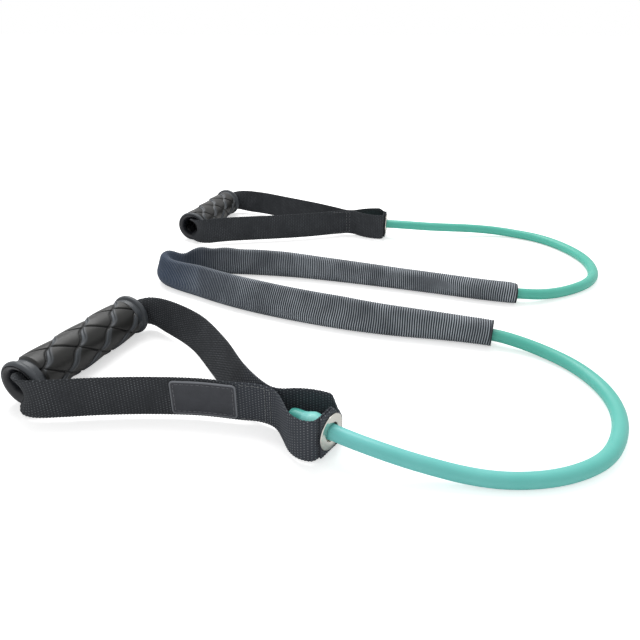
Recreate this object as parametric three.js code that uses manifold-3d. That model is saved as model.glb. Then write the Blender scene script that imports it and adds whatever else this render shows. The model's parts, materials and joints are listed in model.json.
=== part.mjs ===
// A tube resistance band: one elastic tube with a webbing handle on each end and
// a ribbed sleeve over its middle, lying folded in half on a floor.
//
// Units are millimetres. +Z is up and the floor is z = 0. The tube is doubled
// along X: the sleeve's fold is towards -X and the tube's free loops are towards
// +X. Handle "a" is on the -Y side and handle "b" on the +Y side. The origin is
// the centre, on the floor, of the space that the handles and the sleeve take.
import * as THREE from "three";
import { mergeVertices } from "three/addons/utils/BufferGeometryUtils.js";
import Module from "manifold-3d";

const wasm = await Module();
wasm.setup();

// ---------------------------------------------------------------- dimensions

// Clearance between two pieces that touch on the real object.
const SEAT_GAP = 0.3;

// Elastic tube.
const TUBE_OD = 11;
const TUBE_WALL = 2.5;
const TUBE_SIDES = 8;
const TUBE_STEPS = 84;

// End plug: its neck fills the tube's bore and its head spreads the tube.
const PLUG_NECK_OD = TUBE_OD - 2 * TUBE_WALL;
const PLUG_SPREAD = 4.4;
const PLUG_OD = PLUG_NECK_OD + PLUG_SPREAD;
const BULGE_WALL = 3;
const BULGE_OD = PLUG_OD + 2 * BULGE_WALL;
const PLUG_SIDES = 14;

// Grip: moulded rubber over a rigid core, with a hard bush in each end.
const GRIP_LENGTH = 130;
const CORE_BORE = 22;
const CORE_WALL = 2;
const CORE_OD = CORE_BORE + 2 * CORE_WALL;
const BUSH_SHELL = 1.3;
const BUSH_OD = CORE_OD + 2 * BUSH_SHELL;
const BUSH_LENGTH = 10;
const BUSH_LIP_REACH = 2;
const BUSH_LIP_OD = BUSH_OD + 2 * BUSH_LIP_REACH;
const BUSH_LIP_THICK = 1.6;
const NECK_WALL = 1.2;
const NECK_OD = BUSH_OD + 2 * (SEAT_GAP + NECK_WALL);
const NECK_LENGTH = 9;
const BRAID_RELIEF = 1.1;
const GRIP_OD = NECK_OD + 2 * BRAID_RELIEF;
const RIM_WALL = 2.15;
const RIM_OD = BUSH_LIP_OD + 2 * (SEAT_GAP + RIM_WALL);
const RIM_WIDTH = 5;
const RIM_ROUND = 1.2;
const ROUND_SIDES = 20;

// Webbing strap.
const WEB_WIDTH = 33;
const WEB_THICK = 1.8;
const WEB_SEGMENTS = 6;
const WEB_FLOOR_GAP = 0.5;

// Two-part grommet. The tube passes through its bore with some play.
const TUBE_PLAY = 2.5;
const GROMMET_BORE = TUBE_OD + TUBE_PLAY;
const BARREL_WALL = 0.6;
const BARREL_CURL = 0.8;
const EYELET_FLANGE = 6.25;
const EYELET_OD = GROMMET_BORE + 2 * EYELET_FLANGE;
const EYELET_THICK = 1.4;
const EYELET_EDGE = 0.5;
const WASHER_INSET = 1.5;
const WASHER_OD = EYELET_OD - 2 * WASHER_INSET;
const WASHER_THICK = 1;

// Loop at the end of the strap, from the cross seam to its flat double end.
const LOOP_LENGTH = 45;
const LOOP_CORNER = 4;
const LOOP_MARGIN = 1.5;
const LOOP_HALF_WIDTH = WASHER_OD / 2 + LOOP_MARGIN + LOOP_CORNER;
const SEAM_LENGTH = 6;
const LAP_REACH = 11.5;

// The swollen end of the tube, as a share of the loop, the part of it that tapers
// back to the tube, and the plug within it.
const BULGE_LENGTH = 0.65 * LOOP_LENGTH;
const TAPER_LENGTH = 0.3 * BULGE_LENGTH;
const PLUG_LENGTH = 0.8 * BULGE_LENGTH;

// Label patch on the outer face of strap a's near arm.
const PATCH_LENGTH = 47;
const PATCH_HEIGHT = 28;
const PATCH_THICK = 0.8;
const PATCH_START = 114.5;

// Sleeve of ribbed tubular nylon.
const SLEEVE_WALL = 1;

// Heights of the grips' axes, and so of the straps and grommets, and of the
// tube's axis where it lies on the floor and where it lies in the sleeve.
const AXIS_HEIGHT = Math.max(RIM_OD / 2, WEB_WIDTH / 2 + WEB_FLOOR_GAP);
const TUBE_FLOOR_GAP = 0.2;
const TUBE_REST_HEIGHT = TUBE_OD / 2 + TUBE_FLOOR_GAP;
const TUBE_SLEEVED_HEIGHT = TUBE_OD / 2 + SLEEVE_WALL + 2 * SEAT_GAP;

// ----------------------------------------------------------------- materials

const latex = new THREE.MeshStandardMaterial({ color: 0x62c3b0, roughness: 0.4, metalness: 0 });
const nylon = new THREE.MeshStandardMaterial({ color: 0x4b525c, roughness: 0.75, metalness: 0 });
const webbing = new THREE.MeshStandardMaterial({ color: 0x2b2c2e, roughness: 0.9, metalness: 0 });
const rubber = new THREE.MeshStandardMaterial({ color: 0x3a3a3a, roughness: 0.6, metalness: 0 });
const hardPlastic = new THREE.MeshStandardMaterial({ color: 0x24262b, roughness: 0.35, metalness: 0 });
const nickel = new THREE.MeshStandardMaterial({ color: 0xd8d6d0, roughness: 0.25, metalness: 1 });
const patchVinyl = new THREE.MeshStandardMaterial({ color: 0x47464c, roughness: 0.6, metalness: 0 });

// ------------------------------------------------------------ solid builders

function named(name, geometry, material) {
  const mesh = new THREE.Mesh(geometry, material);
  mesh.name = name;
  return mesh;
}

function toManifold(geometry) {
  const bare = geometry.clone();
  bare.deleteAttribute("normal");
  bare.deleteAttribute("uv");
  const merged = mergeVertices(bare, 1e-4);
  return new wasm.Manifold(
    new wasm.Mesh({
      numProp: 3,
      vertProperties: merged.attributes.position.array,
      triVerts: new Uint32Array(merged.index.array),
    }),
  );
}

function toGeometry(manifold) {
  const mesh = manifold.getMesh();
  const geometry = new THREE.BufferGeometry();
  geometry.setAttribute("position", new THREE.BufferAttribute(mesh.vertProperties, 3));
  geometry.setIndex(new THREE.BufferAttribute(mesh.triVerts, 1));
  return geometry;
}

// The solid of a mesh where its own position and rotation put it.
function placed(mesh) {
  mesh.updateMatrix();
  return toManifold(mesh.geometry.clone().applyMatrix4(mesh.matrix));
}

// A solid through a row of equal point loops, each counter-clockwise as seen
// along the row. An open row ends in two flat caps made of strips; a closed row
// joins its last loop to its first.
function loft(loops, closed = false) {
  const count = loops[0].length;
  const positions = loops.flat().flatMap((p) => [p.x, p.y, p.z]);
  const index = [];
  const quad = (a, b, c, d) => index.push(a, b, c, a, c, d);
  const rows = closed ? loops.length : loops.length - 1;
  for (let i = 0; i < rows; i++) {
    const here = i * count;
    const next = ((i + 1) % loops.length) * count;
    for (let j = 0; j < count; j++) {
      const k = (j + 1) % count;
      quad(here + j, next + j, next + k, here + k);
    }
  }
  if (!closed) {
    const last = (loops.length - 1) * count;
    for (let j = 0; j < count / 2 - 1; j++) {
      const k = count - 1 - j;
      quad(j, j + 1, k - 1, k);
      quad(last + j, last + k, last + k - 1, last + j + 1);
    }
  }
  const geometry = new THREE.BufferGeometry();
  geometry.setAttribute("position", new THREE.Float32BufferAttribute(positions, 3));
  geometry.setIndex(index);
  return geometry;
}

// A solid of revolution about Y from a closed outline of [radius, y] points.
function turned(outline, sides = ROUND_SIDES) {
  const profile = [...outline, outline[0]].map(([r, y]) => new THREE.Vector2(r, y));
  return new THREE.LatheGeometry(profile, sides);
}

const mix = (a, b, t) => a + (b - a) * t;

// ------------------------------------------------------------------- webbing

// One cross section of a web: a point of its path, the path's direction, how far
// its width curls towards the left of the path, and how far its top leans left.
function webSection({ x, y, heading, curl, lean }, width, thick, offset = 0) {
  const left = new THREE.Vector2(-Math.sin(heading), Math.cos(heading));
  const faces = [[], []];
  for (let j = 0; j <= WEB_SEGMENTS; j++) {
    const across = width * (j / WEB_SEGMENTS - 0.5);
    const turn = (curl * across) / width;
    const radius = curl > 1e-3 ? width / curl : 0;
    const depth = radius ? radius * (1 - Math.cos(turn)) : 0;
    const rise = radius ? radius * Math.sin(turn) : across;
    faces.forEach((face, side) => {
      const out = offset + (side ? thick / 2 : -thick / 2);
      const d = depth + out * Math.cos(turn);
      const z = rise - out * Math.sin(turn);
      const leant = d * Math.cos(lean) + z * Math.sin(lean);
      const up = z * Math.cos(lean) - d * Math.sin(lean);
      face.push(new THREE.Vector3(x + left.x * leant, y + left.y * leant, up));
    });
  }
  return [...faces[0], ...faces[1].reverse()];
}

// Stations along a web's path, `perSpan` of them between two of its points. Each
// point is [x, y, curl, lean] with the angles in degrees.
function webStations(points, perSpan) {
  const curve = new THREE.CatmullRomCurve3(
    points.map(([x, y]) => new THREE.Vector3(x, y, 0)),
    false,
    "centripetal",
  );
  const spans = points.length - 1;
  const total = spans * perSpan;
  return Array.from({ length: total + 1 }, (_, i) => {
    const t = i / total;
    const span = Math.min(spans - 1, Math.floor(i / perSpan));
    const share = i / perSpan - span;
    const at = curve.getPoint(t);
    const along = curve.getTangent(t);
    const [curl, lean] = [2, 3].map((k) =>
      THREE.MathUtils.degToRad(mix(points[span][k] ?? 0, points[span + 1][k] ?? 0, share)),
    );
    return { x: at.x, y: at.y, heading: Math.atan2(along.y, along.x), curl, lean };
  });
}

// ---------------------------------------------------------------------- grip

// Outlines are given for one end, as [radius, distance in from the end face].
const NECK_START = RIM_WIDTH + RIM_ROUND;
const BODY_START = NECK_START + NECK_LENGTH;

function bothEnds(rows) {
  const half = GRIP_LENGTH / 2;
  return [
    ...rows.map(([r, inwards]) => [r, inwards - half]),
    ...rows.toReversed().map(([r, inwards]) => [r, half - inwards]),
  ];
}

function gripRubber() {
  const outside = [
    [BUSH_LIP_OD / 2 + SEAT_GAP, 0.5],
    [RIM_OD / 2 - RIM_ROUND, 0.3],
    [RIM_OD / 2, 0.3 + RIM_ROUND],
    [RIM_OD / 2, RIM_WIDTH - RIM_ROUND],
    [NECK_OD / 2, NECK_START],
    [NECK_OD / 2, BODY_START],
    [GRIP_OD / 2, BODY_START + 1],
  ];
  const inside = [
    [BUSH_LIP_OD / 2 + SEAT_GAP, BUSH_LIP_THICK + SEAT_GAP],
    [BUSH_OD / 2 + SEAT_GAP, BUSH_LIP_THICK + BUSH_LIP_REACH + SEAT_GAP],
    [BUSH_OD / 2 + SEAT_GAP, BUSH_LENGTH + SEAT_GAP],
    [CORE_OD / 2 + SEAT_GAP, BUSH_LENGTH + SEAT_GAP],
  ];
  return turned([...bothEnds(outside), ...bothEnds(inside).toReversed()]);
}

function gripCore() {
  const end = GRIP_LENGTH / 2 - BUSH_LENGTH - SEAT_GAP;
  return turned([
    [CORE_BORE / 2, -end],
    [CORE_OD / 2, -end],
    [CORE_OD / 2, end],
    [CORE_BORE / 2, end],
  ]);
}

// The bush of the +Y end; its mouth flares from the core's bore to its lip.
function bellMouth() {
  const flare = BUSH_LIP_OD / 2 - CORE_BORE / 2 - 0.6;
  const depth = BUSH_LENGTH * 0.75;
  const mouth = [0, 1, 2, 3].map((k) => {
    const angle = (k / 3) * (Math.PI / 2);
    return [CORE_BORE / 2 + flare * (1 - Math.cos(angle)), depth * (1 - Math.sin(angle))];
  });
  const rows = [
    [CORE_BORE / 2, BUSH_LENGTH],
    [BUSH_OD / 2, BUSH_LENGTH],
    [BUSH_OD / 2, BUSH_LIP_THICK + BUSH_LIP_REACH],
    [BUSH_LIP_OD / 2, BUSH_LIP_THICK],
    [BUSH_LIP_OD / 2, 0.5],
    ...mouth.toReversed(),
  ];
  return turned(rows.map(([r, inwards]) => [r, GRIP_LENGTH / 2 - inwards]));
}

// --------------------------------------------------------------------- strap

// Distance between the middles of two layers of web that lie face to face.
const LAYER_PITCH = WEB_THICK + SEAT_GAP;

// Faces of the loop's flat double end, measured from the cross seam.
const LAP_INSIDE = LOOP_LENGTH - WEB_THICK / 2;
const LAP_OUTSIDE = LOOP_LENGTH + LAYER_PITCH + WEB_THICK / 2;

// How tightly the web has to curl to lie against the core's bore.
const BORE_CURL_RADIUS = CORE_BORE / 2 - SEAT_GAP - WEB_THICK / 2;
const BORE_CURL = THREE.MathUtils.radToDeg(WEB_WIDTH / BORE_CURL_RADIUS);

// One side of the loop, as [along, across] from the seam, without its flat end.
function loopSide() {
  const opening = [
    [0.13, 0.18],
    [0.29, 0.5],
    [0.49, 0.79],
    [0.69, 0.95],
  ];
  const corner = LOOP_LENGTH - LOOP_CORNER;
  const turn = LOOP_CORNER * Math.SQRT1_2;
  return [
    [0, LAYER_PITCH / 2],
    ...opening.map(([along, across]) => [along * LOOP_LENGTH, across * LOOP_HALF_WIDTH]),
    [corner - LOOP_CORNER / 2, LOOP_HALF_WIDTH],
    [corner + turn, LOOP_HALF_WIDTH - LOOP_CORNER + turn],
    [LOOP_LENGTH, LOOP_HALF_WIDTH - LOOP_CORNER - 0.6],
  ];
}

// The whole path of a strap, from the inner lap, round the near side of the
// loop, along the near arm, through the grip and back to the outer lap. An arm
// starts in the grip's mouth, where its rows are [distance out from the bore's
// bed, across, curl, lean], with the curl as a share of the bore's; its other
// rows are [x, across, lean]. Every distance across is a share of half the
// grip's length.
function strapPath({ seam, loopTurn, nearMouth, nearArm, farMouth, farArm }) {
  const half = GRIP_LENGTH / 2;
  const fromMouth = ([out, across, curl, lean]) => [
    BORE_CURL_RADIUS + out,
    across * half,
    curl * BORE_CURL,
    lean,
  ];
  const onArm = ([x, across, lean]) => [x, across * half, 0, lean];
  const inGrip = [-1, 0, 1].map((k) => [BORE_CURL_RADIUS, k * (half - BUSH_LENGTH), BORE_CURL]);
  const place = ([along, across]) => onLoop({ seam, loopTurn }, along, across);
  const side = loopSide();
  const outer = side.map(([along, across]) =>
    along > LOOP_LENGTH - LOOP_CORNER ? [along + LAYER_PITCH, across] : [along, across],
  );
  return [
    place([LOOP_LENGTH, LAP_REACH]),
    place([LOOP_LENGTH, 0]),
    ...side.toReversed().map(([along, across]) => place([along, -across])),
    place([-SEAM_LENGTH, -LAYER_PITCH / 2]),
    ...nearArm.toReversed().map(onArm),
    ...nearMouth.toReversed().map(fromMouth),
    ...inGrip,
    ...farMouth.map(fromMouth),
    ...farArm.map(onArm),
    place([-SEAM_LENGTH, LAYER_PITCH / 2]),
    ...outer.map(place),
    place([LOOP_LENGTH + LAYER_PITCH, 0]),
    place([LOOP_LENGTH + LAYER_PITCH, -LAP_REACH]),
  ];
}

// A point of a loop in the handle's frame, from its cross seam.
function onLoop({ seam, loopTurn }, along, across = 0) {
  const turn = THREE.MathUtils.degToRad(loopTurn);
  return [
    seam[0] + along * Math.cos(turn) - across * Math.sin(turn),
    seam[1] * (GRIP_LENGTH / 2) + along * Math.sin(turn) + across * Math.cos(turn),
  ];
}

// A disc-shaped piece whose axis, +Y in its own frame, lies along the loop.
function onLoopAxis(object, form, along = 0) {
  object.rotation.z = THREE.MathUtils.degToRad(form.loopTurn) - Math.PI / 2;
  object.position.set(...onLoop(form, along), 0);
  return object;
}

function strap(form) {
  const stations = webStations(strapPath(form), 2);
  const web = toManifold(loft(stations.map((s) => webSection(s, WEB_WIDTH, WEB_THICK))));
  const hole = GROMMET_BORE / 2 + BARREL_WALL + SEAT_GAP;
  const reach = 3 * (LAP_OUTSIDE - LAP_INSIDE);
  const middle = (LAP_INSIDE + LAP_OUTSIDE) / 2;
  const punch = onLoopAxis(
    new THREE.Mesh(new THREE.CylinderGeometry(hole, hole, reach, ROUND_SIDES)),
    form,
    middle,
  );
  return toGeometry(web.subtract(placed(punch)));
}

// ------------------------------------------------------------------- grommet

// Along the grommet's axis, from the cross seam.
const EYELET_FACE = LAP_OUTSIDE + SEAT_GAP + EYELET_THICK;
const WASHER_FACE = LAP_INSIDE - SEAT_GAP;
const BARREL_END = WASHER_FACE - WASHER_THICK - BARREL_CURL;

function eyelet() {
  const bore = GROMMET_BORE / 2;
  const barrel = bore + BARREL_WALL;
  const under = LAP_OUTSIDE + SEAT_GAP;
  return turned([
    [bore, BARREL_END],
    [barrel, BARREL_END],
    [barrel, under],
    [EYELET_OD / 2, under],
    [EYELET_OD / 2, under + EYELET_EDGE],
    [EYELET_OD / 2 - 1.6, EYELET_FACE],
    [bore + 1.4, EYELET_FACE],
    [bore, EYELET_FACE - 0.8],
  ]);
}

function washer() {
  const bore = GROMMET_BORE / 2 + BARREL_WALL + SEAT_GAP;
  return turned([
    [bore, WASHER_FACE - WASHER_THICK],
    [WASHER_OD / 2, WASHER_FACE - WASHER_THICK],
    [WASHER_OD / 2, WASHER_FACE],
    [bore, WASHER_FACE],
  ]);
}

// ------------------------------------------------------------------- handles

// Where each handle lies: its grip's centre on the floor and its turn, and in its
// own frame the cross seam of its loop, the loop's turn and the strap's two arms.
const HANDLES = [
  {
    id: "a",
    centre: [-122.4, -188],
    turn: -4.1,
    seam: [186.5, -0.278],
    loopTurn: -12,
    nearMouth: [
      [0.1, -0.954, 0.984],
      [1.2, -1.025, 0.777],
      [5, -1.077, 0.57],
      [11, -1.097, 0.363],
      [17.6, -1.086, 0.181],
    ],
    nearArm: [
      [36.5, -1.032],
      [62.5, -0.846],
      [95.5, -0.618],
      [131.5, -0.422],
      [160.5, -0.325],
      [172.5, -0.278],
    ],
    farMouth: [
      [0.1, 0.954, 0.984],
      [1.2, 1.015, 0.777],
      [5, 1.062, 0.57],
      [11.7, 1.083, 0.363, 4],
      [20.2, 1.086, 0.155, 8],
    ],
    farArm: [
      [43.5, 1.052, 12],
      [76.5, 0.846, 21],
      [115.5, 0.415, 26],
      [148.5, -0.008, 21],
      [167.5, -0.171, 10],
    ],
  },
  {
    id: "b",
    centre: [-201.1, 189.5],
    turn: 4,
    seam: [203, 0.138],
    loopTurn: 3.5,
    nearMouth: [
      [0.1, -0.954, 0.984],
      [1, -1.037, 0.777],
      [4.4, -1.111, 0.56],
      [10.7, -1.157, 0.363],
      [19.2, -1.151, 0.181],
    ],
    nearArm: [
      [39, -1.082],
      [56, -0.946],
      [85, -0.754],
      [117, -0.546],
      [152, -0.285],
      [176, -0.062],
      [189, 0.062],
    ],
    farMouth: [
      [0.1, 0.954, 0.984],
      [1.2, 1.022, 0.777],
      [5, 1.074, 0.57],
      [11.7, 1.102, 0.363],
      [20.2, 1.114, 0.181],
    ],
    farArm: [
      [42, 1.114],
      [60, 1.055],
      [100, 0.815],
      [150, 0.508],
      [181, 0.277],
    ],
  },
];

function labelPatch(form) {
  const arm = webStations(strapPath(form), 12);
  const underPatch = (s) => s.x >= PATCH_START && s.x <= PATCH_START + PATCH_LENGTH;
  const fromFace = WEB_THICK / 2 + SEAT_GAP + PATCH_THICK / 2;
  const bed = arm.filter((s) => underPatch(s) && Math.cos(s.heading) < 0);
  const every = bed.filter((_, i) => i % 4 === 0 || i === bed.length - 1);
  return loft(every.map((s) => webSection(s, PATCH_HEIGHT, PATCH_THICK, fromFace)));
}

function handle(form) {
  const group = new THREE.Group();
  group.position.set(form.centre[0], form.centre[1], AXIS_HEIGHT);
  group.rotation.z = THREE.MathUtils.degToRad(form.turn);
  const { id } = form;
  const farBush = named(`bush_far_${id}`, bellMouth(), hardPlastic);
  const nearBush = named(`bush_near_${id}`, bellMouth(), hardPlastic);
  nearBush.rotation.z = Math.PI;
  group.add(
    named(`grip_${id}`, gripRubber(), rubber),
    named(`grip_core_${id}`, gripCore(), hardPlastic),
    nearBush,
    farBush,
    named(`strap_${id}`, strap(form), webbing),
    onLoopAxis(named(`grommet_eyelet_${id}`, eyelet(), nickel), form),
    onLoopAxis(named(`grommet_washer_${id}`, washer(), nickel), form),
  );
  if (id === "a") group.add(named("label_patch", labelPatch(form), patchVinyl));
  return group;
}

// ---------------------------------------------------------------------- tube

// Where the swollen end of the tube lies in its loop, from the cross seam: its
// taper is seated in the mouth of the grommet's barrel.
const IN_BARREL =
  (TAPER_LENGTH * (GROMMET_BORE / 2 - SEAT_GAP - TUBE_OD / 2)) / ((BULGE_OD - TUBE_OD) / 2);
const TUBE_TIP = BARREL_END + IN_BARREL - BULGE_LENGTH;

// The point of a handle's loop axis at a distance from its cross seam, in the
// frame of the whole object.
function onAxis(form, along) {
  const [x, y] = onLoop(form, along);
  return new THREE.Vector3(x, y, AXIS_HEIGHT)
    .applyAxisAngle(new THREE.Vector3(0, 0, 1), THREE.MathUtils.degToRad(form.turn))
    .add(new THREE.Vector3(...form.centre, 0));
}

const [HANDLE_A, HANDLE_B] = HANDLES;

// The tube's route from the first grommet to the second, as laid by hand: the
// near loop, the doubled stretch in the sleeve and the far loop. The third value
// is how far the tube is lifted from lying flat to the height of the grommets.
const NEAR_LOOP = [
  [123.5, -236.5, 0.973],
  [139.5, -238.5, 0.866],
  [158.5, -238.5, 0.628],
  [178.5, -236.5, 0.345],
  [198.5, -234, 0.115],
  [220.5, -229.5],
  [244.5, -220.5],
  [265.5, -206.5],
  [282.5, -187.5],
  [292.5, -162.5],
  [296, -137.5],
  [292.5, -111.5],
  [281.5, -87.5],
  [265.5, -68.5],
  [245.5, -55.5, 0.054],
  [225.5, -49, 0.207],
];
const IN_SLEEVE = [
  [202.5, -46, 0.275],
  [178.5, -47, 0.129],
  [150.5, -50],
  [113.5, -55],
  [74.5, -57],
  [23.5, -55],
  [-26.5, -49.5],
  [-66.5, -41.5],
  [-101.5, -31.5],
  [-128.5, -23.5],
  [-146.5, -15.5],
  [-156, 0.5],
  [-146.5, 17],
  [-128.5, 25.5],
  [-96.5, 34.5],
  [-60.5, 42],
  [-13.5, 48.5],
  [45.5, 51.5],
  [101.5, 52.5],
  [158.5, 52],
  [193.5, 52, 0.112],
  [221.5, 54, 0.275],
];
const FAR_LOOP = [
  [241.5, 62, 0.207],
  [261.5, 77.5, 0.031],
  [278.5, 94],
  [293.5, 113.5],
  [302.5, 134.5],
  [305, 157.5],
  [302.5, 181.5],
  [294.5, 205.5],
  [280.5, 228.5],
  [262.5, 248.5],
  [241.5, 262.5],
  [218.5, 269, 0.023],
  [195.5, 270, 0.13],
  [173.5, 265, 0.276],
  [151.5, 255.5, 0.452],
  [130.5, 244, 0.628],
  [108.5, 233, 0.797],
  [86.5, 225.5, 0.927],
  [66.5, 221.5, 0.989],
];

const atExit = (form) => onAxis(form, EYELET_FACE);
const insideLoop = (form) => onAxis(form, TUBE_TIP + BULGE_LENGTH / 2);
const laid = (rows, rest) =>
  rows.map(([x, y, lift = 0]) => new THREE.Vector3(x, y, mix(rest, AXIS_HEIGHT, lift)));

const tubeCurve = new THREE.CatmullRomCurve3(
  [
    insideLoop(HANDLE_A),
    atExit(HANDLE_A),
    ...laid(NEAR_LOOP, TUBE_REST_HEIGHT),
    ...laid(IN_SLEEVE, TUBE_SLEEVED_HEIGHT),
    ...laid(FAR_LOOP, TUBE_REST_HEIGHT),
    atExit(HANDLE_B),
    insideLoop(HANDLE_B),
  ],
  false,
  "centripetal",
);

// Outlines of the tube's swollen end and of the plug in it, from a tip at y = 0:
// a short tail of plain tube, the part that is spread by the plug, and a taper.
const TAIL_RADIUS = TUBE_OD / 2 + 0.4;
const SWOLLEN_END = [
  [0, 0],
  [TAIL_RADIUS - 1, 0],
  [TAIL_RADIUS, 1],
  [TAIL_RADIUS, BULGE_LENGTH * 0.3],
  [BULGE_OD / 2, BULGE_LENGTH * 0.58],
  [BULGE_OD / 2, BULGE_LENGTH - TAPER_LENGTH],
  [TUBE_OD / 2 + 0.01, BULGE_LENGTH],
  [0, BULGE_LENGTH],
];

function plugOutline(clearance) {
  const neck = PLUG_NECK_OD / 2 + clearance;
  const head = PLUG_OD / 2 + clearance;
  return [
    [0, -clearance - 0.5],
    [neck, -clearance - 0.5],
    [neck, PLUG_LENGTH * 0.4],
    [head, PLUG_LENGTH * 0.62],
    [head, PLUG_LENGTH * 0.82],
    [neck, PLUG_LENGTH + clearance],
    [0, PLUG_LENGTH + clearance],
  ];
}

// A turned piece on the loop axis of a handle, with its tip at the tube's end.
function atTip(name, outline, form) {
  const profile = outline.map(([r, y]) => new THREE.Vector2(r, y));
  const mesh = named(name, new THREE.LatheGeometry(profile, PLUG_SIDES), hardPlastic);
  mesh.rotation.z = THREE.MathUtils.degToRad(form.turn + form.loopTurn) - Math.PI / 2;
  mesh.position.copy(onAxis(form, TUBE_TIP));
  return mesh;
}

function tube() {
  const ring = new THREE.Shape();
  ring.absarc(0, 0, TUBE_OD / 2, 0, Math.PI * 2);
  const run = new THREE.ExtrudeGeometry(ring, {
    steps: TUBE_STEPS,
    curveSegments: TUBE_SIDES / 2,
    extrudePath: tubeCurve,
    bevelEnabled: false,
  });
  let body = toManifold(run);
  for (const form of HANDLES) {
    body = body.add(placed(atTip("swollen_end", SWOLLEN_END, form)));
    body = body.subtract(placed(atTip("plug_recess", plugOutline(SEAT_GAP), form)));
  }
  return toGeometry(body);
}

// -------------------------------------------------------------------- sleeve

// The sleeve's shape along its length: [share of its length, slack of its round
// foot about the tube, radius of its crest as a share of the foot's, rise from
// the foot's centre to the crest's, lean of the crest towards the fold's inside in
// degrees]. It is round at its mouths and stands on edge towards the fold.
const SLEEVE_FORM = [
  [0, 3.9, 0.96, 1.9, 0],
  [0.03, 3.7, 0.94, 3.5, 0],
  [0.1, 2.5, 0.68, 12.4, 4],
  [0.18, 1.7, 0.48, 19, 8],
  [0.3, 1.5, 0.37, 21.2, 12],
  [0.4, 1.7, 0.34, 21.2, 12],
  [0.45, 3.3, 0.35, 17, 8],
  [0.49, 3.7, 0.37, 16.2, 6],
  [0.53, 3.5, 0.32, 15, 8],
  [0.57, 2.3, 0.32, 19.1, 10],
  [0.62, 1.6, 0.46, 18.3, 8],
  [0.72, 1.7, 0.64, 13.1, 4],
  [0.84, 2.3, 0.85, 6.1, 0],
  [0.96, 3.3, 0.96, 1.6, 0],
  [1, 3.5, 0.96, 1.2, 0],
];
const SLEEVE_STEPS = 46;
const FOOT_POINTS = 8;
const CREST_POINTS = 4;

// The hull of a foot circle that stands on the floor and a crest circle above it,
// each smaller by `inset`; the crest leans to the right of the path.
function sleeveSection(at, heading, [slack, crestShare, rise, lean], inset) {
  const foot = TUBE_SLEEVED_HEIGHT + slack;
  const crest = foot * crestShare;
  const tangent = Math.asin((foot - crest) / rise);
  const tilt = THREE.MathUtils.degToRad(lean);
  const right = new THREE.Vector2(Math.sin(heading), -Math.cos(heading));
  const points = [];
  const arc = (radius, centre, from, to, count) => {
    for (let i = 0; i < count; i++) {
      const angle = mix(from, to, i / (count - 1));
      const across = radius * Math.cos(angle);
      const up = centre + radius * Math.sin(angle);
      const leant = across * Math.cos(tilt) + up * Math.sin(tilt);
      const z = foot + up * Math.cos(tilt) - across * Math.sin(tilt);
      points.push(new THREE.Vector3(at.x + right.x * leant, at.y + right.y * leant, z));
    }
  };
  arc(crest - inset, rise, tangent, Math.PI - tangent, CREST_POINTS);
  arc(foot - inset, 0, Math.PI - tangent, 2 * Math.PI + tangent, FOOT_POINTS);
  return points;
}

function sleeve() {
  const spans = tubeCurve.points.length - 1;
  const first = 2 + NEAR_LOOP.length;
  const last = first + IN_SLEEVE.length - 1;
  const lengths = tubeCurve.getLengths(spans * 20);
  const from = lengths[first * 20] / lengths.at(-1);
  const to = lengths[last * 20] / lengths.at(-1);
  const form = new THREE.LinearInterpolant(
    SLEEVE_FORM.map((row) => row[0]),
    SLEEVE_FORM.flatMap((row) => row.slice(1)),
    SLEEVE_FORM[0].length - 1,
  );
  const outside = [];
  const inside = [];
  for (let i = 0; i <= SLEEVE_STEPS; i++) {
    const share = i / SLEEVE_STEPS;
    const u = mix(from, to, share);
    const at = tubeCurve.getPointAt(u);
    const along = tubeCurve.getTangentAt(u);
    const heading = Math.atan2(along.y, along.x);
    const shape = form.evaluate(share);
    outside.push(sleeveSection(at, heading, shape, 0));
    inside.push(sleeveSection(at, heading, shape, SLEEVE_WALL));
  }
  return loft([...outside, ...inside.toReversed()], true);
}

// ------------------------------------------------------------------ assembly

const band = new THREE.Group();
band.add(...HANDLES.map(handle));
band.add(named("tube", tube(), latex));
for (const form of HANDLES) {
  band.add(atTip(`end_plug_${form.id}`, plugOutline(0), form));
}
band.add(named("sleeve", sleeve(), nylon));

export default band;
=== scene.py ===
# %% [markdown]
# # A tube resistance band
#
# The band is one elastic latex tube with a stirrup handle on each end and a ribbed
# nylon sleeve over its middle. It lies folded in half on a floor. The sizes, joints
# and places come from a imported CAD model, which this script loads as a fixed frame;
# Blender then gives each piece its real surface. Everything is in metres.

# %% The frame
import json
import math

import bpy
import numpy as np
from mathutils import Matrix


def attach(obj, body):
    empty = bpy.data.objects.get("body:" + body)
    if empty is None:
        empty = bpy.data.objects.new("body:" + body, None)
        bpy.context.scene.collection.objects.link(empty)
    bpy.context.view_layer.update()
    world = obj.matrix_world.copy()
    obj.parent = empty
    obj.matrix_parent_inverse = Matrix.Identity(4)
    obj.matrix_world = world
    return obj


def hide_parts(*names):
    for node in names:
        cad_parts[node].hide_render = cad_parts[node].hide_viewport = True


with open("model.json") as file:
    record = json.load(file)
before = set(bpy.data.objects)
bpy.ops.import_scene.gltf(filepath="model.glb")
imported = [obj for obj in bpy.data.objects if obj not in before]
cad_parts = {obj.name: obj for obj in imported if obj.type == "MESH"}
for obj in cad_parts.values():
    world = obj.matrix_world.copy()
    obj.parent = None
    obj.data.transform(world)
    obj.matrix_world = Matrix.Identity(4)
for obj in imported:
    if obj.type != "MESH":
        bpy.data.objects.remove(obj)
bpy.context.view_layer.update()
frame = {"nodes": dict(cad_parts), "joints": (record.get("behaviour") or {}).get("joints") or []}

MM = 0.001

# %% [markdown]
# ## The camera
#
# The camera stands a quarter of a metre above the floor and looks down on the band
# from the side of the near handle. It is made first, because the loose tube has to
# stay inside its view.

# %% The camera
LOOK_DOWN = 27.1
LOOK_LEFT = 18.0

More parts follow.
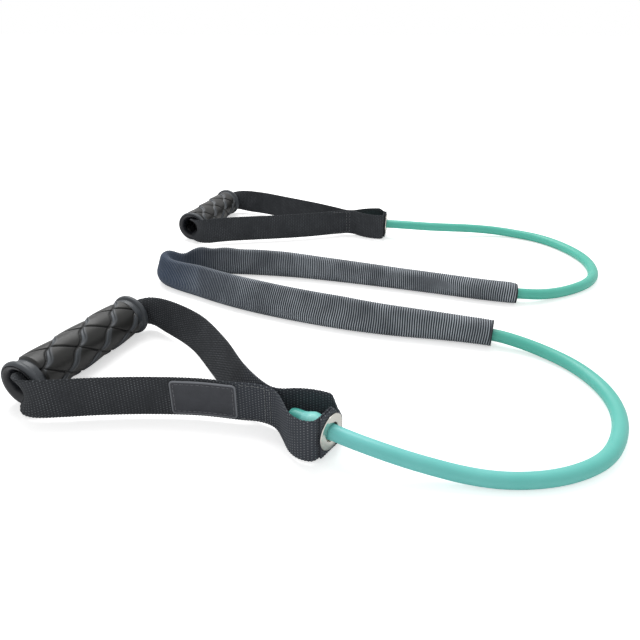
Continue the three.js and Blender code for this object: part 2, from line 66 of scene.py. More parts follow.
camera_data = bpy.data.cameras.new("camera")
camera_data.sensor_width = 36
camera_data.lens = 31.84
camera_data.clip_start = 0.01
camera_data.clip_end = 100
camera = bpy.data.objects.new("camera", camera_data)
camera.location = (0.1935, -0.5175, 0.2529)
camera.rotation_euler = (math.radians(90 - LOOK_DOWN), 0, math.radians(LOOK_LEFT))
bpy.context.scene.collection.objects.link(camera)
bpy.context.scene.camera = camera
print("camera", tuple(camera.location), "lens", camera_data.lens)

# %% [markdown]
# ## Curves
#
# A tube, a strap and a sleeve are all a section swept along a path. Blender's own
# curves could do it, but a sweep written in code also knows how far along and
# across each point lies, and the weave, the ribs and the sewing need that. The
# paths are centripetal Catmull-Rom curves, which pass through every point given
# and make no loops where points lie close together; a light average then takes out
# what is left of the corners.

# %% Curve helpers
def catmull_rom(points, per_span):
    """Positions on the curve through the points, `per_span` of them to a span."""
    p = np.asarray(points, float)
    p = np.vstack([2 * p[0] - p[1], p, 2 * p[-1] - p[-2]])
    share = (np.arange(per_span) / per_span)[:, None]
    out = []
    for before, a, b, after in zip(p, p[1:], p[2:], p[3:]):
        t0, t1, t2 = (
            max(((v - u)[:2] ** 2).sum() ** 0.25, 1e-5)
            for u, v in ((before, a), (a, b), (b, after))
        )
        start = ((a - before) / t0 - (b - before) / (t0 + t1) + (b - a) / t1) * t1
        end = ((b - a) / t1 - (after - a) / (t1 + t2) + (after - b) / t2) * t1
        square = -3 * a + 3 * b - 2 * start - end
        cube = 2 * a - 2 * b + start + end
        out.append(a + share * start + share**2 * square + share**3 * cube)
    return np.vstack([*out, p[-2][None]])


def lengths_along(path):
    """How far along the path each of its points lies."""
    steps = np.linalg.norm(np.diff(path, axis=0), axis=1)
    return np.concatenate([[0.0], np.cumsum(steps)])


def evenly(path, step, with_columns=None):
    """The path again with its points about `step` apart, and their distances."""
    along = lengths_along(path)
    at = np.linspace(0, along[-1], round(along[-1] / step) + 1)
    columns = path if with_columns is None else np.column_stack([path, with_columns])
    return at, np.column_stack([np.interp(at, along, c) for c in columns.T])


def smoothed(values, sigma):
    """A Gaussian average along the first axis, `sigma` in samples."""
    reach = max(1, int(3 * sigma))
    weights = np.exp(-0.5 * (np.arange(-reach, reach + 1) / sigma) ** 2)
    weights /= weights.sum()
    columns = values.reshape(len(values), -1)
    first = 2 * columns[0] - columns[reach:0:-1]
    last = 2 * columns[-1] - columns[-2:-reach - 2:-1]
    padded = np.vstack([first, columns, last])
    out = [np.convolve(c, weights, "valid") for c in padded.T]
    return np.column_stack(out).reshape(values.shape)


def unit(vectors):
    return vectors / np.linalg.norm(vectors, axis=-1, keepdims=True)


def smoothstep(low, high, x):
    t = np.clip((x - low) / (high - low), 0, 1)
    return t * t * (3 - 2 * t)


def mix(a, b, t):
    return a + (b - a) * t


# %% [markdown]
# ## Meshes from rows of points
#
# Every swept or turned piece here is a grid: rows of points, each row a closed
# ring. One function turns the grid into quads, closes its ends, stores how far
# along and across each point lies as named attributes, and hands the piece to the
# body that carries it.

# %% Mesh helpers
def add_piece(name, points, faces, attributes, material, body):
    """A smooth mesh object that rides on a body, its faces turned outwards."""
    mesh = bpy.data.meshes.new(name)
    mesh.from_pydata(points.tolist(), [], faces)
    for key, values in attributes.items():
        layer = mesh.attributes.new(key, "FLOAT", "POINT")
        layer.data.foreach_set("value", np.ascontiguousarray(values, np.float32).ravel())
    mesh.polygons.foreach_set("use_smooth", np.ones(len(mesh.polygons), bool))
    mesh.materials.append(material)
    mesh.update()
    mesh.calc_loop_triangles()
    corners = np.empty(len(mesh.loop_triangles) * 3, np.int32)
    mesh.loop_triangles.foreach_get("vertices", corners)
    a, b, c = points[corners.reshape(-1, 3)].transpose(1, 0, 2)
    if np.einsum("ij,ij->", a, np.cross(b, c)) < 0:
        mesh.flip_normals()
    piece = bpy.data.objects.new(name, mesh)
    bpy.context.scene.collection.objects.link(piece)
    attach(piece, body)
    print(f"{name}: {len(mesh.vertices)} points, {len(mesh.loop_triangles)} triangles")
    return piece


def ring_faces(rows, count, closed=False, first=0):
    """Quads between neighbouring rings of `count` points each."""
    i = np.arange(rows if closed else rows - 1)[:, None] * count
    j = np.arange(count)[None]
    k = (j + 1) % count
    after = (i + count) % (rows * count) if closed else i + count
    quads = np.stack([i + j, i + k, after + k, after + j], -1)
    return (quads.reshape(-1, 4) + first).tolist()


def add_rings(name, rings, material, body, attributes=None, closed=False):
    """A piece from rings of points; open rows end in a flat face at each end."""
    rows, count = rings.shape[:2]
    faces = ring_faces(rows, count, closed)
    if not closed:
        # Each end face runs against the quads beside it, so that the piece is closed.
        faces.append(list(range(count - 1, -1, -1)))
        faces.append(list(range(count * (rows - 1), count * rows)))
    return add_piece(name, rings.reshape(-1, 3), faces, attributes or {}, material, body)


def around_axis(outline, origin, axis, sides):
    """Rings of a turned piece from [radius, distance along the axis] points."""
    angle = np.linspace(0, 2 * math.pi, sides, endpoint=False)
    beside = np.cross([0, 0, 1], axis)
    turn = np.cos(angle)[:, None] * beside + np.sin(angle)[:, None] * np.array([0, 0, 1])
    radius, along = np.asarray(outline, float).T
    return origin + radius[:, None, None] * turn + along[:, None, None] * axis


# %% [markdown]
# ## Materials
#
# A colour is written as the hex value that a screen shows; Blender works in linear
# light, so one function converts it. A material is a tree of nodes. One small
# function adds a node, sets its options and links its inputs, and the trees below
# read from top to bottom like a recipe.

# %% Material helpers
def linear(colour):
    """Linear red, green, blue and alpha of an sRGB hex colour."""
    channels = [int(colour[i:i + 2], 16) / 255 for i in (1, 3, 5)]
    return tuple(c / 12.92 if c <= 0.04045 else ((c + 0.055) / 1.055) ** 2.4 for c in channels) + (1,)


def new_material(name):
    """A named material with its tree and its Principled shader."""
    made = bpy.data.materials.new(name)
    made.use_nodes = True
    return made, made.node_tree, made.node_tree.nodes["Principled BSDF"]


def node(tree, kind, inputs=(), out=0, **settings):
    """Adds a node. `inputs` pairs a socket with a value or with another socket."""
    made = tree.nodes.new("ShaderNode" + kind)
    for key, value in settings.items():
        setattr(made, key, value)
    for key, value in dict(inputs).items():
        if isinstance(value, bpy.types.NodeSocket):
            tree.links.new(value, made.inputs[key])
        else:
            made.inputs[key].default_value = value
    return made.outputs[out]


# A Mix node has sockets for every kind of value; these are its colour ones.
MIX_FACTOR, MIX_A, MIX_B, MIX_RESULT = 0, 6, 7, 2


def blend(tree, factor, a, b):
    """A colour between two, each of them a hex colour or a socket."""
    a, b = (linear(c) if isinstance(c, str) else c for c in (a, b))
    return node(tree, "Mix", {MIX_FACTOR: factor, MIX_A: a, MIX_B: b}, out=MIX_RESULT, data_type="RGBA")


def attribute(tree, name):
    """A value that the mesh stores at each of its points."""
    return node(tree, "Attribute", attribute_name=name, out="Fac")


def noise(tree, place, scale, detail):
    return node(tree, "TexNoise", {"Vector": place, "Scale": scale, "Detail": detail})


def maths(tree, operation, *values, **settings):
    return node(tree, "Math", dict(enumerate(values)), operation=operation, **settings)


def cosine_wave(tree, turns):
    """A wave with one crest to each whole turn."""
    return maths(tree, "COSINE", maths(tree, "MULTIPLY", turns, 2 * math.pi))


def ranged(tree, value, low, high, to_low=0, to_high=1):
    """The value moved from one range to another."""
    return node(tree, "MapRange", {"Value": value, "From Min": low, "From Max": high,
                                   "To Min": to_low, "To Max": to_high})


def bumped(tree, shader, height, strength, distance):
    """Fine relief drawn by the shader, too small for the mesh."""
    bump = node(tree, "Bump", {"Height": height, "Strength": strength, "Distance": distance})
    tree.links.new(bump, shader.inputs["Normal"])


# %% [markdown]
# ### Latex
#
# The tube is dipped natural latex: many thin coats on a mandrel, so its skin is
# even and satin, with faint bands across it. Light enters it a little before it
# comes back, which a small subsurface amount gives. IOR 1.52, roughness about 0.4.
# Where the plug stretches it, latex thins and turns paler; the relaxed tail behind
# the plug keeps the deeper colour.

# %% Latex material
def dipped_latex():
    material, tree, shader = new_material("dipped_latex")
    along = attribute(tree, "along")
    stretch = attribute(tree, "stretch")
    place = node(tree, "TexCoord", out="Object")
    cloud = noise(tree, place, 45, 3)
    # Painted light: the tube is painted bluer and paler near handle a and greener and darker further
    # along, as if the light fell unevenly along it.
    near = blend(tree, cloud, "#6dd0cb", "#85dcd9")
    far = blend(tree, cloud, "#4cb9a4", "#5cc3b0")
    drift = ranged(tree, along, 0.04, 0.42)
    base = blend(tree, drift, near, far)
    pale = ranged(tree, stretch, 0, 1, 0, 0.85)
    thinned = blend(tree, pale, base, "#92e6de")
    slack = ranged(tree, stretch, 0, -1, 0, 0.8)
    colour = blend(tree, slack, thinned, "#3fb3a2")
    tree.links.new(colour, shader.inputs["Base Color"])
    # Dip bands, about 9 mm apart, too shallow to feel.
    bands = node(tree, "CombineXYZ", {"X": along})
    band = noise(tree, bands, 110, 1)
    skin = noise(tree, place, 900, 2)
    height = maths(tree, "ADD", band, skin)
    bumped(tree, shader, height, 0.12, 0.3 * MM)
    rough = ranged(tree, skin, 0, 1, 0.34, 0.46)
    tree.links.new(rough, shader.inputs["Roughness"])
    shader.inputs["IOR"].default_value = 1.52
    shader.inputs["Subsurface Weight"].default_value = 0.12
    shader.inputs["Subsurface Radius"].default_value = (0.8, 1.0, 0.9)
    shader.inputs["Subsurface Scale"].default_value = 1.5 * MM
    return material


LATEX = dipped_latex()

# %% [markdown]
# ## The tube
#
# The tube leaves handle a through its grommet, makes a loose loop on the floor,
# runs doubled through the sleeve, makes the second loop and ends in handle b. Its
# route is a list of given points, the same ones as in the CAD. Sweeping a
# round section along them keeps the diameter true everywhere. Each end is pulled
# over a plug: the tail behind the plug is relaxed, and the stretch over the plug's
# head is fat and thin-walled.

# %% Places taken from the joints
def joint_line(name):
    joint = next(j for j in frame["joints"] if j["name"] == name)
    return np.array(joint["pos_m"], float), unit(np.array(joint["axis"], float))


UP = np.array([0.0, 0.0, 1.0])
SEAM = {}
LOOP_AXIS = {}
LOOP_ACROSS = {}
GRIP_CENTRE = {}
GRIP_AXIS = {}
GRIP_SIDE = {}
for side in "ab":
    SEAM[side], LOOP_AXIS[side] = joint_line(f"handle_{side}_swivel")
    LOOP_ACROSS[side] = np.cross(UP, LOOP_AXIS[side])
    GRIP_CENTRE[side], GRIP_AXIS[side] = joint_line(f"grip_{side}_spin")
    GRIP_SIDE[side] = np.cross(GRIP_AXIS[side], UP)
AXIS_HEIGHT = SEAM["a"][2]
print("grip axes", GRIP_AXIS)

# %% The tube's route
TUBE_OD = 11 * MM
TUBE_REST_HEIGHT = TUBE_OD / 2 + 0.2 * MM
TUBE_SLEEVED_HEIGHT = TUBE_OD / 2 + 1.6 * MM
TUBE_TIP = 15.84 * MM
PLUG_MIDDLE = 30.46 * MM
EYELET_FACE = 49.7 * MM

# Each point is x, y and how far the tube is lifted from lying flat to the height
# of the grommets.
NEAR_LOOP = [
    (0.1235, -0.2365, 0.973), (0.1395, -0.2385, 0.866), (0.1585, -0.2385, 0.628),
    (0.1785, -0.2365, 0.345), (0.1985, -0.234, 0.115), (0.2205, -0.2295, 0),
    (0.2445, -0.2205, 0), (0.2655, -0.2065, 0), (0.2825, -0.1875, 0),
    (0.2925, -0.1625, 0), (0.296, -0.1375, 0), (0.2925, -0.1115, 0),
    (0.2815, -0.0875, 0), (0.2655, -0.0685, 0), (0.2455, -0.0555, 0.054),
    (0.2255, -0.049, 0.207),
]
IN_SLEEVE = [
    (0.2025, -0.046, 0.275), (0.1785, -0.047, 0.129), (0.1505, -0.05, 0),
    (0.1135, -0.055, 0), (0.0745, -0.057, 0), (0.0235, -0.055, 0),
    (-0.0265, -0.0495, 0), (-0.0665, -0.0415, 0), (-0.1015, -0.0315, 0),
    (-0.1285, -0.0235, 0), (-0.1465, -0.0155, 0), (-0.156, 0.0005, 0),
    (-0.1465, 0.017, 0), (-0.1285, 0.0255, 0), (-0.0965, 0.0345, 0),
    (-0.0605, 0.042, 0), (-0.0135, 0.0485, 0), (0.0455, 0.0515, 0),
    (0.1015, 0.0525, 0), (0.1585, 0.052, 0), (0.1935, 0.052, 0.112),
    (0.2215, 0.054, 0.275),
]
FAR_LOOP = [
    (0.2415, 0.062, 0.207), (0.2615, 0.0775, 0.031), (0.2785, 0.094, 0),
    (0.2935, 0.1135, 0), (0.3025, 0.1345, 0), (0.305, 0.1575, 0),
    (0.3025, 0.1815, 0), (0.2945, 0.2055, 0), (0.2805, 0.2285, 0),
    (0.2625, 0.2485, 0), (0.2415, 0.2625, 0), (0.2185, 0.269, 0.023),
    (0.1955, 0.27, 0.13), (0.1735, 0.265, 0.276), (0.1515, 0.2555, 0.452),
    (0.1305, 0.244, 0.628), (0.1085, 0.233, 0.797), (0.0865, 0.2255, 0.927),
    (0.0665, 0.2215, 0.989),
]


def laid(rows, rest):
    return [(x, y, mix(rest, AXIS_HEIGHT, lift)) for x, y, lift in rows]


def on_axis(side, along):
    return SEAM[side] + along * LOOP_AXIS[side]


ROUTE = [
    *(on_axis("a", u) for u in (TUBE_TIP, PLUG_MIDDLE, EYELET_FACE)),
    *laid(NEAR_LOOP, TUBE_REST_HEIGHT),
    *laid(IN_SLEEVE, TUBE_SLEEVED_HEIGHT),
    *laid(FAR_LOOP, TUBE_REST_HEIGHT),
    *(on_axis("b", u) for u in (EYELET_FACE, PLUG_MIDDLE, TUBE_TIP)),
]
SPAN_STEPS = 24
TUBE_STEP = 1.6 * MM
ROUTE_SMOOTHING = 4

route_fine = catmull_rom(ROUTE, SPAN_STEPS)
_, tube_line = evenly(route_fine, TUBE_STEP)
tube_line = smoothed(tube_line, ROUTE_SMOOTHING)

# %% The tube's mesh
# Radius at a distance from the tip, in millimetres: tail, waist, the part over the
# plug's head, and the taper into the grommet.
SWOLLEN = np.array([
    (0.0, 5.0), (0.7, 5.9), (7.5, 5.95), (10.5, 5.9), (13.0, 6.9), (16.0, 8.35),
    (18.5, 8.6), (21.0, 8.0), (24.0, 6.95), (27.0, 6.1), (31.0, 5.6), (36.0, 5.5),
]) * MM
TAIL_END = 11 * MM
HEAD_MIDDLE = 18.5 * MM
HEAD_REACH = 9 * MM
BORE_RADIUS = 3.1 * MM
BORE_DEPTH = 4 * MM
TUBE_SIDES = 28


def frames_along(line):
    """Directions along, to the left of and up from a path."""
    ahead = unit(np.gradient(line, axis=0))
    left = unit(np.cross(UP, ahead))
    return ahead, left, np.cross(ahead, left)


def tube():
    ahead, left, up = frames_along(tube_line)
    along = lengths_along(tube_line)
    from_tip = np.minimum(along, along[-1] - along)
    radius = np.interp(from_tip, *SWOLLEN.T)
    radius[1:-1] = smoothed(radius, 1.1)[1:-1]
    over_head = np.exp(-(((from_tip - HEAD_MIDDLE) / HEAD_REACH) ** 2))
    stretch = over_head - (from_tip < TAIL_END)
    angle = np.linspace(0, 2 * math.pi, TUBE_SIDES, endpoint=False)
    turn = (np.cos(angle)[None, :, None] * left[:, None]
            + np.sin(angle)[None, :, None] * up[:, None])
    rings = tube_line[:, None] + radius[:, None, None] * turn
    # Each cut end turns in to the bore, which the plug's neck fills.
    lip = [(5.0 * MM, -0.1 * MM), (4.2 * MM, -0.15 * MM), (BORE_RADIUS, 0), (BORE_RADIUS, BORE_DEPTH)]
    for r, depth in lip:
        first = tube_line[0] + depth * ahead[0] + r * turn[0]
        last = tube_line[-1] - depth * ahead[-1] + r * turn[-1]
        rings = np.concatenate([first[None], rings, last[None]])
    extra = len(lip)
    spread = lambda v: np.repeat(np.pad(v, extra, "edge"), TUBE_SIDES)
    return add_rings("elastic_tube", rings, LATEX, "band",
                     {"along": spread(along), "stretch": spread(stretch)})


elastic_tube = tube()
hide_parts("tube")

# %% [markdown]
# ### Ribbed nylon
#
# The sleeve is a knitted nylon tube with a stiff cord laid in every two
# millimetres, so it stands in rings like a hose. The yarn on the rings is pale grey
# where it is worn, and the colour paints a highlight on it as well; the cloth between
# them is almost black and slightly blue. The rings are real geometry. The material
# only adds the yarn's colour with its painted highlight, a painted shade that dulls
# the crests a little past the fold, the fine knit and the faint sheen that nylon has
# at a glancing angle.

# %% Ribbed nylon material
def ribbed_nylon():
    material, tree, shader = new_material("ribbed_nylon")
    phase = attribute(tree, "rib_phase")
    fold = attribute(tree, "fold")
    hem = attribute(tree, "hem")
    place = node(tree, "TexCoord", out="Object")
    # The ribs' crests are painted pale: partly worn yarn, partly a painted highlight.
    crest = node(tree, "MapRange", {"Value": cosine_wave(tree, phase), "From Max": 0.9},
                 interpolation_type="SMOOTHSTEP")
    wear_and_glint = noise(tree, place, 38, 5)
    patchy = ranged(tree, wear_and_glint, 0.35, 0.65, 0.5)
    lit = maths(tree, "MULTIPLY", crest, patchy)
    # Painted shade dulls the pale crests a little past the fold, in patches.
    shade = attribute(tree, "shade")
    shade_noise = noise(tree, place, 16, 2)
    shade_patches = ranged(tree, shade_noise, 0.4, 0.6, 0.75)
    painted_shade = maths(tree, "MULTIPLY", shade, shade_patches)
    painted_shade_factor = ranged(tree, painted_shade, 0, 1, 1.0, 0.1)
    amount = maths(tree, "MULTIPLY", lit, painted_shade_factor)
    blue = maths(tree, "MULTIPLY", fold, patchy)
    ground = blend(tree, blue, "#232931", "#0f2c49")
    yarn = blend(tree, amount, ground, "#c2cad2")
    colour = blend(tree, hem, yarn, "#22262d")
    tree.links.new(colour, shader.inputs["Base Color"])
    # Knit stitches are 0.5 mm wide; drawn at 0.7 mm so that they still show.
    knit = node(tree, "TexVoronoi", {"Vector": place, "Scale": 1 / (0.7 * MM)})
    bumped(tree, shader, knit, 0.35, 0.2 * MM)
    shader.inputs["Roughness"].default_value = 0.72
    shader.inputs["Sheen Weight"].default_value = 0.12
    shader.inputs["Sheen Roughness"].default_value = 0.4
    shader.inputs["IOR"].default_value = 1.53
    return material


NYLON = ribbed_nylon()

# %% [markdown]
# ## The sleeve
#
# The sleeve follows the doubled tube. Around the tube it is a loose foot; above it
# the slack cloth stands up as a narrow crest, so each cross section is the hull of
# two circles. The table gives that shape at a few places, and between them it
# changes evenly. The sleeve is cloth, but it is a tight ribbed tube that hardly
# drapes, so its folds are modelled directly instead of simulated.

# %% The sleeve's form
# Share of the length, slack of the foot about the tube (mm), crest radius as a
# share of the foot's, rise from the foot's centre to the crest's (mm), lean of the
# crest towards the inside of the fold (degrees).
SLEEVE_FORM = np.array([
    (0.00, 3.9, 0.96, 1.9, 0), (0.03, 3.7, 0.94, 3.5, 0), (0.10, 2.5, 0.68, 12.4, 4),
    (0.18, 1.7, 0.48, 19.0, 8), (0.30, 1.5, 0.37, 21.2, 12), (0.40, 1.7, 0.34, 21.2, 12),
    (0.44, 3.3, 0.35, 17.0, 8), (0.462, 3.9, 0.38, 15.6, 2), (0.48, 4.3, 0.44, 15.8, -6),
    (0.496, 4.3, 0.44, 15.6, -6), (0.506, 3.6, 0.36, 12.6, 2), (0.516, 3.0, 0.30, 10.6, 8),
    (0.528, 3.1, 0.34, 16.6, 8), (0.542, 2.9, 0.36, 20.0, 8), (0.558, 2.3, 0.34, 18.3, 10),
    (0.578, 2.2, 0.40, 20.2, 9), (0.602, 1.8, 0.42, 18.6, 9), (0.63, 1.7, 0.47, 18.6, 8),
    (0.67, 1.6, 0.55, 16.9, 6), (0.72, 1.7, 0.64, 13.1, 4),
    (0.84, 2.3, 0.85, 6.1, 0), (0.96, 3.3, 0.96, 1.6, 0), (0.994, 3.5, 0.96, 1.2, 0),
    (1.00, 2.9, 0.92, 1.0, 0),
])
RIB_PITCH = 2.15 * MM
RIB_HEIGHT = 0.34 * MM
RINGS_PER_RIB = 4
SLEEVE_AROUND = 40
SLEEVE_WALL = 0.9 * MM
HEM_LENGTH = 1.2 * MM
# Shares of the sleeve's length.
FOLD_AT = 0.46
SHADE_AT = 0.49


def hull_section(share, foot, crest, rise):
    """Points and outward normals of the hull of two circles, from its top round."""
    tangent = np.arcsin((foot - crest) / rise)
    half_crest = crest * (math.pi / 2 - tangent)
    flank = rise * np.cos(tangent)
    foot_arc = foot * (math.pi + 2 * tangent)
    t = share * (2 * half_crest + 2 * flank + foot_arc)
    ends = np.cumsum(np.broadcast_arrays(half_crest, flank, foot_arc, flank), axis=0)
    left, right = math.pi - tangent, tangent + 0 * t
    angle = np.select(
        [t < ends[0], t < ends[1], t < ends[2], t < ends[3]],
        [math.pi / 2 + t / crest, left, left + (t - ends[1]) / foot, right],
        right + (t - ends[3]) / crest,
    )
    down = np.clip((t - ends[0]) / flank, 0, 1)
    back = np.clip((t - ends[2]) / flank, 0, 1)
    on_foot = np.where(t < ends[1], down, np.where(t < ends[2], 1, 1 - back))
    radius = mix(crest, foot, on_foot)
    across = radius * np.cos(angle)
    up = rise * (1 - on_foot) + radius * np.sin(angle)
    return across, up, np.cos(angle), np.sin(angle)


def sleeve_rings(at_share, inset, rib_height):
    """Rings of the sleeve at shares of its length, and their rib phase."""
    line = np.column_stack([np.interp(at_share, sleeve_share, c) for c in sleeve_line.T])
    ahead = np.column_stack([np.interp(at_share, sleeve_share, c) for c in sleeve_ahead.T])
    right = unit(np.column_stack([ahead[:, 1], -ahead[:, 0], 0 * ahead[:, 0]]))
    slack, crest_share, rise, lean = (c[:, None] for c in sleeve_shape(at_share).T)
    foot = TUBE_SLEEVED_HEIGHT + slack * MM
    around = np.arange(SLEEVE_AROUND)[None] / SLEEVE_AROUND
    across, up, nx, nz = hull_section(around, foot, foot * crest_share, rise * MM)
    phase = at_share[:, None] * SLEEVE_LENGTH / RIB_PITCH
    drift = 0.35 * np.sin(2 * math.pi * around + 9 * at_share[:, None])
    drift = drift + 0.2 * np.sin(4 * math.pi * around + 31 * at_share[:, None])
    phase = phase + drift
    out = rib_height * np.cos(2 * math.pi * phase) - inset
    across, up = across + out * nx, up + out * nz
    tilt = np.radians(lean)
    leant = across * np.cos(tilt) + up * np.sin(tilt)
    height = foot + up * np.cos(tilt) - across * np.sin(tilt)
    flat = line * [1, 1, 0]
    rings = flat[:, None] + leant[..., None] * right[:, None] + height[..., None] * UP
    return rings, phase


first_point = 3 + len(NEAR_LOOP)
last_point = first_point + len(IN_SLEEVE) - 1
sleeve_fine = route_fine[first_point * SPAN_STEPS:last_point * SPAN_STEPS + 1]
_, sleeve_line = evenly(sleeve_fine, MM)
sleeve_line = smoothed(sleeve_line, 6)
sleeve_ahead = frames_along(sleeve_line)[0]
SLEEVE_LENGTH = lengths_along(sleeve_line)[-1]
sleeve_share = lengths_along(sleeve_line) / SLEEVE_LENGTH
form_columns = SLEEVE_FORM[:, 1:].T
form_fine = np.column_stack([np.interp(sleeve_share, SLEEVE_FORM[:, 0], c) for c in form_columns])
form_fine = smoothed(form_fine, 4)


def sleeve_shape(at_share):
    return np.column_stack([np.interp(at_share, sleeve_share, c) for c in form_fine.T])


def sleeve():
    ribs = round(SLEEVE_LENGTH / RIB_PITCH)
    outer_at = np.linspace(0, 1, ribs * RINGS_PER_RIB + 1)
    inner_at = np.linspace(1, 0, ribs // 2 + 1)
    outer, phase = sleeve_rings(outer_at, 0, RIB_HEIGHT)
    inner, _ = sleeve_rings(inner_at, SLEEVE_WALL, 0)
    rings = np.concatenate([outer, inner])
    at = np.concatenate([outer_at, inner_at])
    count = SLEEVE_AROUND
    phases = np.concatenate([phase, np.full((len(inner_at), count), 0.5)])
    # The cloth is bluest at the fold, and a little past it painted shade dulls the ribs' pale crests.
    before_fold = at < FOLD_AT
    fold = np.exp(-(((at - FOLD_AT) / np.where(before_fold, 0.12, 0.07)) ** 2))
    shade = np.exp(-(((at - SHADE_AT) / 0.13) ** 2))
    from_end = np.minimum(at, 1 - at) * SLEEVE_LENGTH
    hem = 1 - smoothstep(HEM_LENGTH, 2 * HEM_LENGTH, from_end)
    spread = lambda v: np.repeat(v, count)
    marks = {"rib_phase": phases, "fold": spread(fold), "hem": spread(hem), "shade": spread(shade)}
    return add_rings("ribbed_sleeve", rings, NYLON, "band", marks, closed=True)


ribbed_sleeve = sleeve()
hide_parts("sleeve")
smooth_rings = sleeve_rings(np.linspace(0, 1, 40), 0, 0)[0]

# %% [markdown]
# ### Webbing
#
# The straps are black polyester webbing: thick warp yarns run along it and dive
# under a weft thread every two millimetres or so. From near by, each crown of a
# warp yarn catches a point of light, so the face reads as columns of small dots.
# The weft's ribs and the scalloped edges are geometry; the crowns are bump and a
# painted highlight in the colour, placed by how far along and across the web a point
# lies.

# %% Webbing material
WEFT_PITCH = 2.3 * MM
WARP_PITCH = 2.1 * MM


def woven_polyester():
    material, tree, shader = new_material("woven_polyester")
    along = attribute(tree, "along")
    across = attribute(tree, "across")
    place = node(tree, "TexCoord", out="Object")
    pick = maths(tree, "DIVIDE", along, WEFT_PITCH)
    row = maths(tree, "ROUND", pick)
    stagger = maths(tree, "MULTIPLY", row, 0.5)
    yarn = maths(tree, "DIVIDE", across, WARP_PITCH)
    yarn = maths(tree, "ADD", yarn, stagger)
    pick_wave = cosine_wave(tree, pick)
    yarn_wave = cosine_wave(tree, yarn)
    over = ranged(tree, pick_wave, 0, 0.9)
    crown = ranged(tree, yarn_wave, 0, 0.9)
    dot = maths(tree, "MULTIPLY", over, crown)
    fuzz = noise(tree, place, 700, 3)
    glint_patches = noise(tree, place, 60, 3)
    shown = ranged(tree, glint_patches, 0.3, 0.7, 0.12, 0.8)
    # Painted light: this attribute pales the crowns and the ground round the loop, and darkens the
    # crowns in the grips' mouths.
    pulled = attribute(tree, "pulled")
    shown = maths(tree, "MULTIPLY_ADD", pulled, 0.45, shown)
    # The crowns are painted pale: a painted highlight, stronger in random patches.
    light = maths(tree, "MULTIPLY", dot, shown, use_clamp=True)
    ground = blend(tree, fuzz, "#25272a", "#3b3e42")
    painted_fill = maths(tree, "MULTIPLY", pulled, 0.45)
    ground = blend(tree, painted_fill, ground, "#4a4f58")
    colour = blend(tree, light, ground, "#83878c")
    tree.links.new(colour, shader.inputs["Base Color"])
    height = maths(tree, "MULTIPLY_ADD", fuzz, 0.3, dot)
    bumped(tree, shader, height, 0.7, 0.35 * MM)
    shader.inputs["Roughness"].default_value = 0.82
    shader.inputs["Specular IOR Level"].default_value = 0.3
    return material


WEBBING = woven_polyester()

# %% [markdown]
# ## The straps
#
# Each handle has one length of webbing. It starts as the inner layer of the loop's
# double end, goes round the near side of the loop, along the near arm, curls like a
# gutter to pass through the grip, and comes back along the far arm to lie over its
# own start. Cloth simulation would lose the flat width of a strap, so the web is
# swept along its path with its curl and lean given at each point.

# %% The straps' paths
GRIP_LENGTH = 130 * MM
WEB_WIDTH = 33 * MM
WEB_THICK = 1.8 * MM
WEB_GAP = 0.3 * MM
LAYER_PITCH = WEB_THICK + WEB_GAP
LOOP_LENGTH = 45 * MM
LOOP_CORNER = 4 * MM
SEAM_LENGTH = 6 * MM
LAP_REACH = 11.5 * MM
BORE_BED = 9.8 * MM
BORE_CURL = 193
BUSH_LENGTH = 10 * MM

# One side of the loop, as distances along and across from the cross seam.
LOOP_SIDE = np.array([
    (0, 1.05), (5.85, 3.06), (13.05, 8.5), (22.05, 13.43), (31.05, 16.15), (39, 17),
    (43.83, 15.83), (45, 12.4),
]) * MM

# Handle a was set down on its loop, so the near wall bulges.
LOOP_NEAR = {
    "a": np.array([
        (0, 1.05), (5.85, 2.8), (14.8, 8.6), (20.5, 12.8), (26.1, 16.3), (32.2, 18.2),
        (38, 18), (43.3, 15.9), (45, 12.4),
    ]) * MM,
    "b": LOOP_SIDE,
}

# In each handle's own frame, x away from the grip and y along it, in millimetres,
# then the curl and the lean in degrees where there is any.
ARMS = {
    "a": {
        "near": [
            (172.5, -18.1), (160.5, -21.1), (131.5, -27.4), (95.5, -40.2), (62.5, -55),
            (37, -68), (27, -72, 12), (18.6, -73.2, 38), (12.6, -71.2, 80),
            (10.2, -66.9, 130), (9.9, -62, 190),
        ],
        "far": [
            (9.9, 62, 190), (11, 66, 150), (14.8, 69, 110), (21.5, 70.4, 70, 4),
            (30, 70.6, 30, 8), (43.5, 68.4, 0, 12), (76.5, 55, 0, 21), (115.5, 27, 0, 26),
            (148.5, -0.5, 0, 21), (167.5, -11.1, 0, 10),
        ],
    },
    "b": {
        "near": [
            (189, 4), (176, -4), (152, -18.5), (117, -35.5), (85, -49), (56, -61.5),
            (39, -70.3), (29, -74.8, 35), (20.5, -75.2, 70), (14.2, -72.2, 108),
            (10.8, -67.4, 150), (9.9, -62, 190),
        ],
        "far": [
            (9.9, 62, 190), (11, 66.4, 150), (14.8, 69.8, 110), (21.5, 71.6, 70),
            (30, 72.4, 35), (42, 72.4), (60, 68.6), (100, 53), (150, 33), (181, 18),
        ],
    },
}


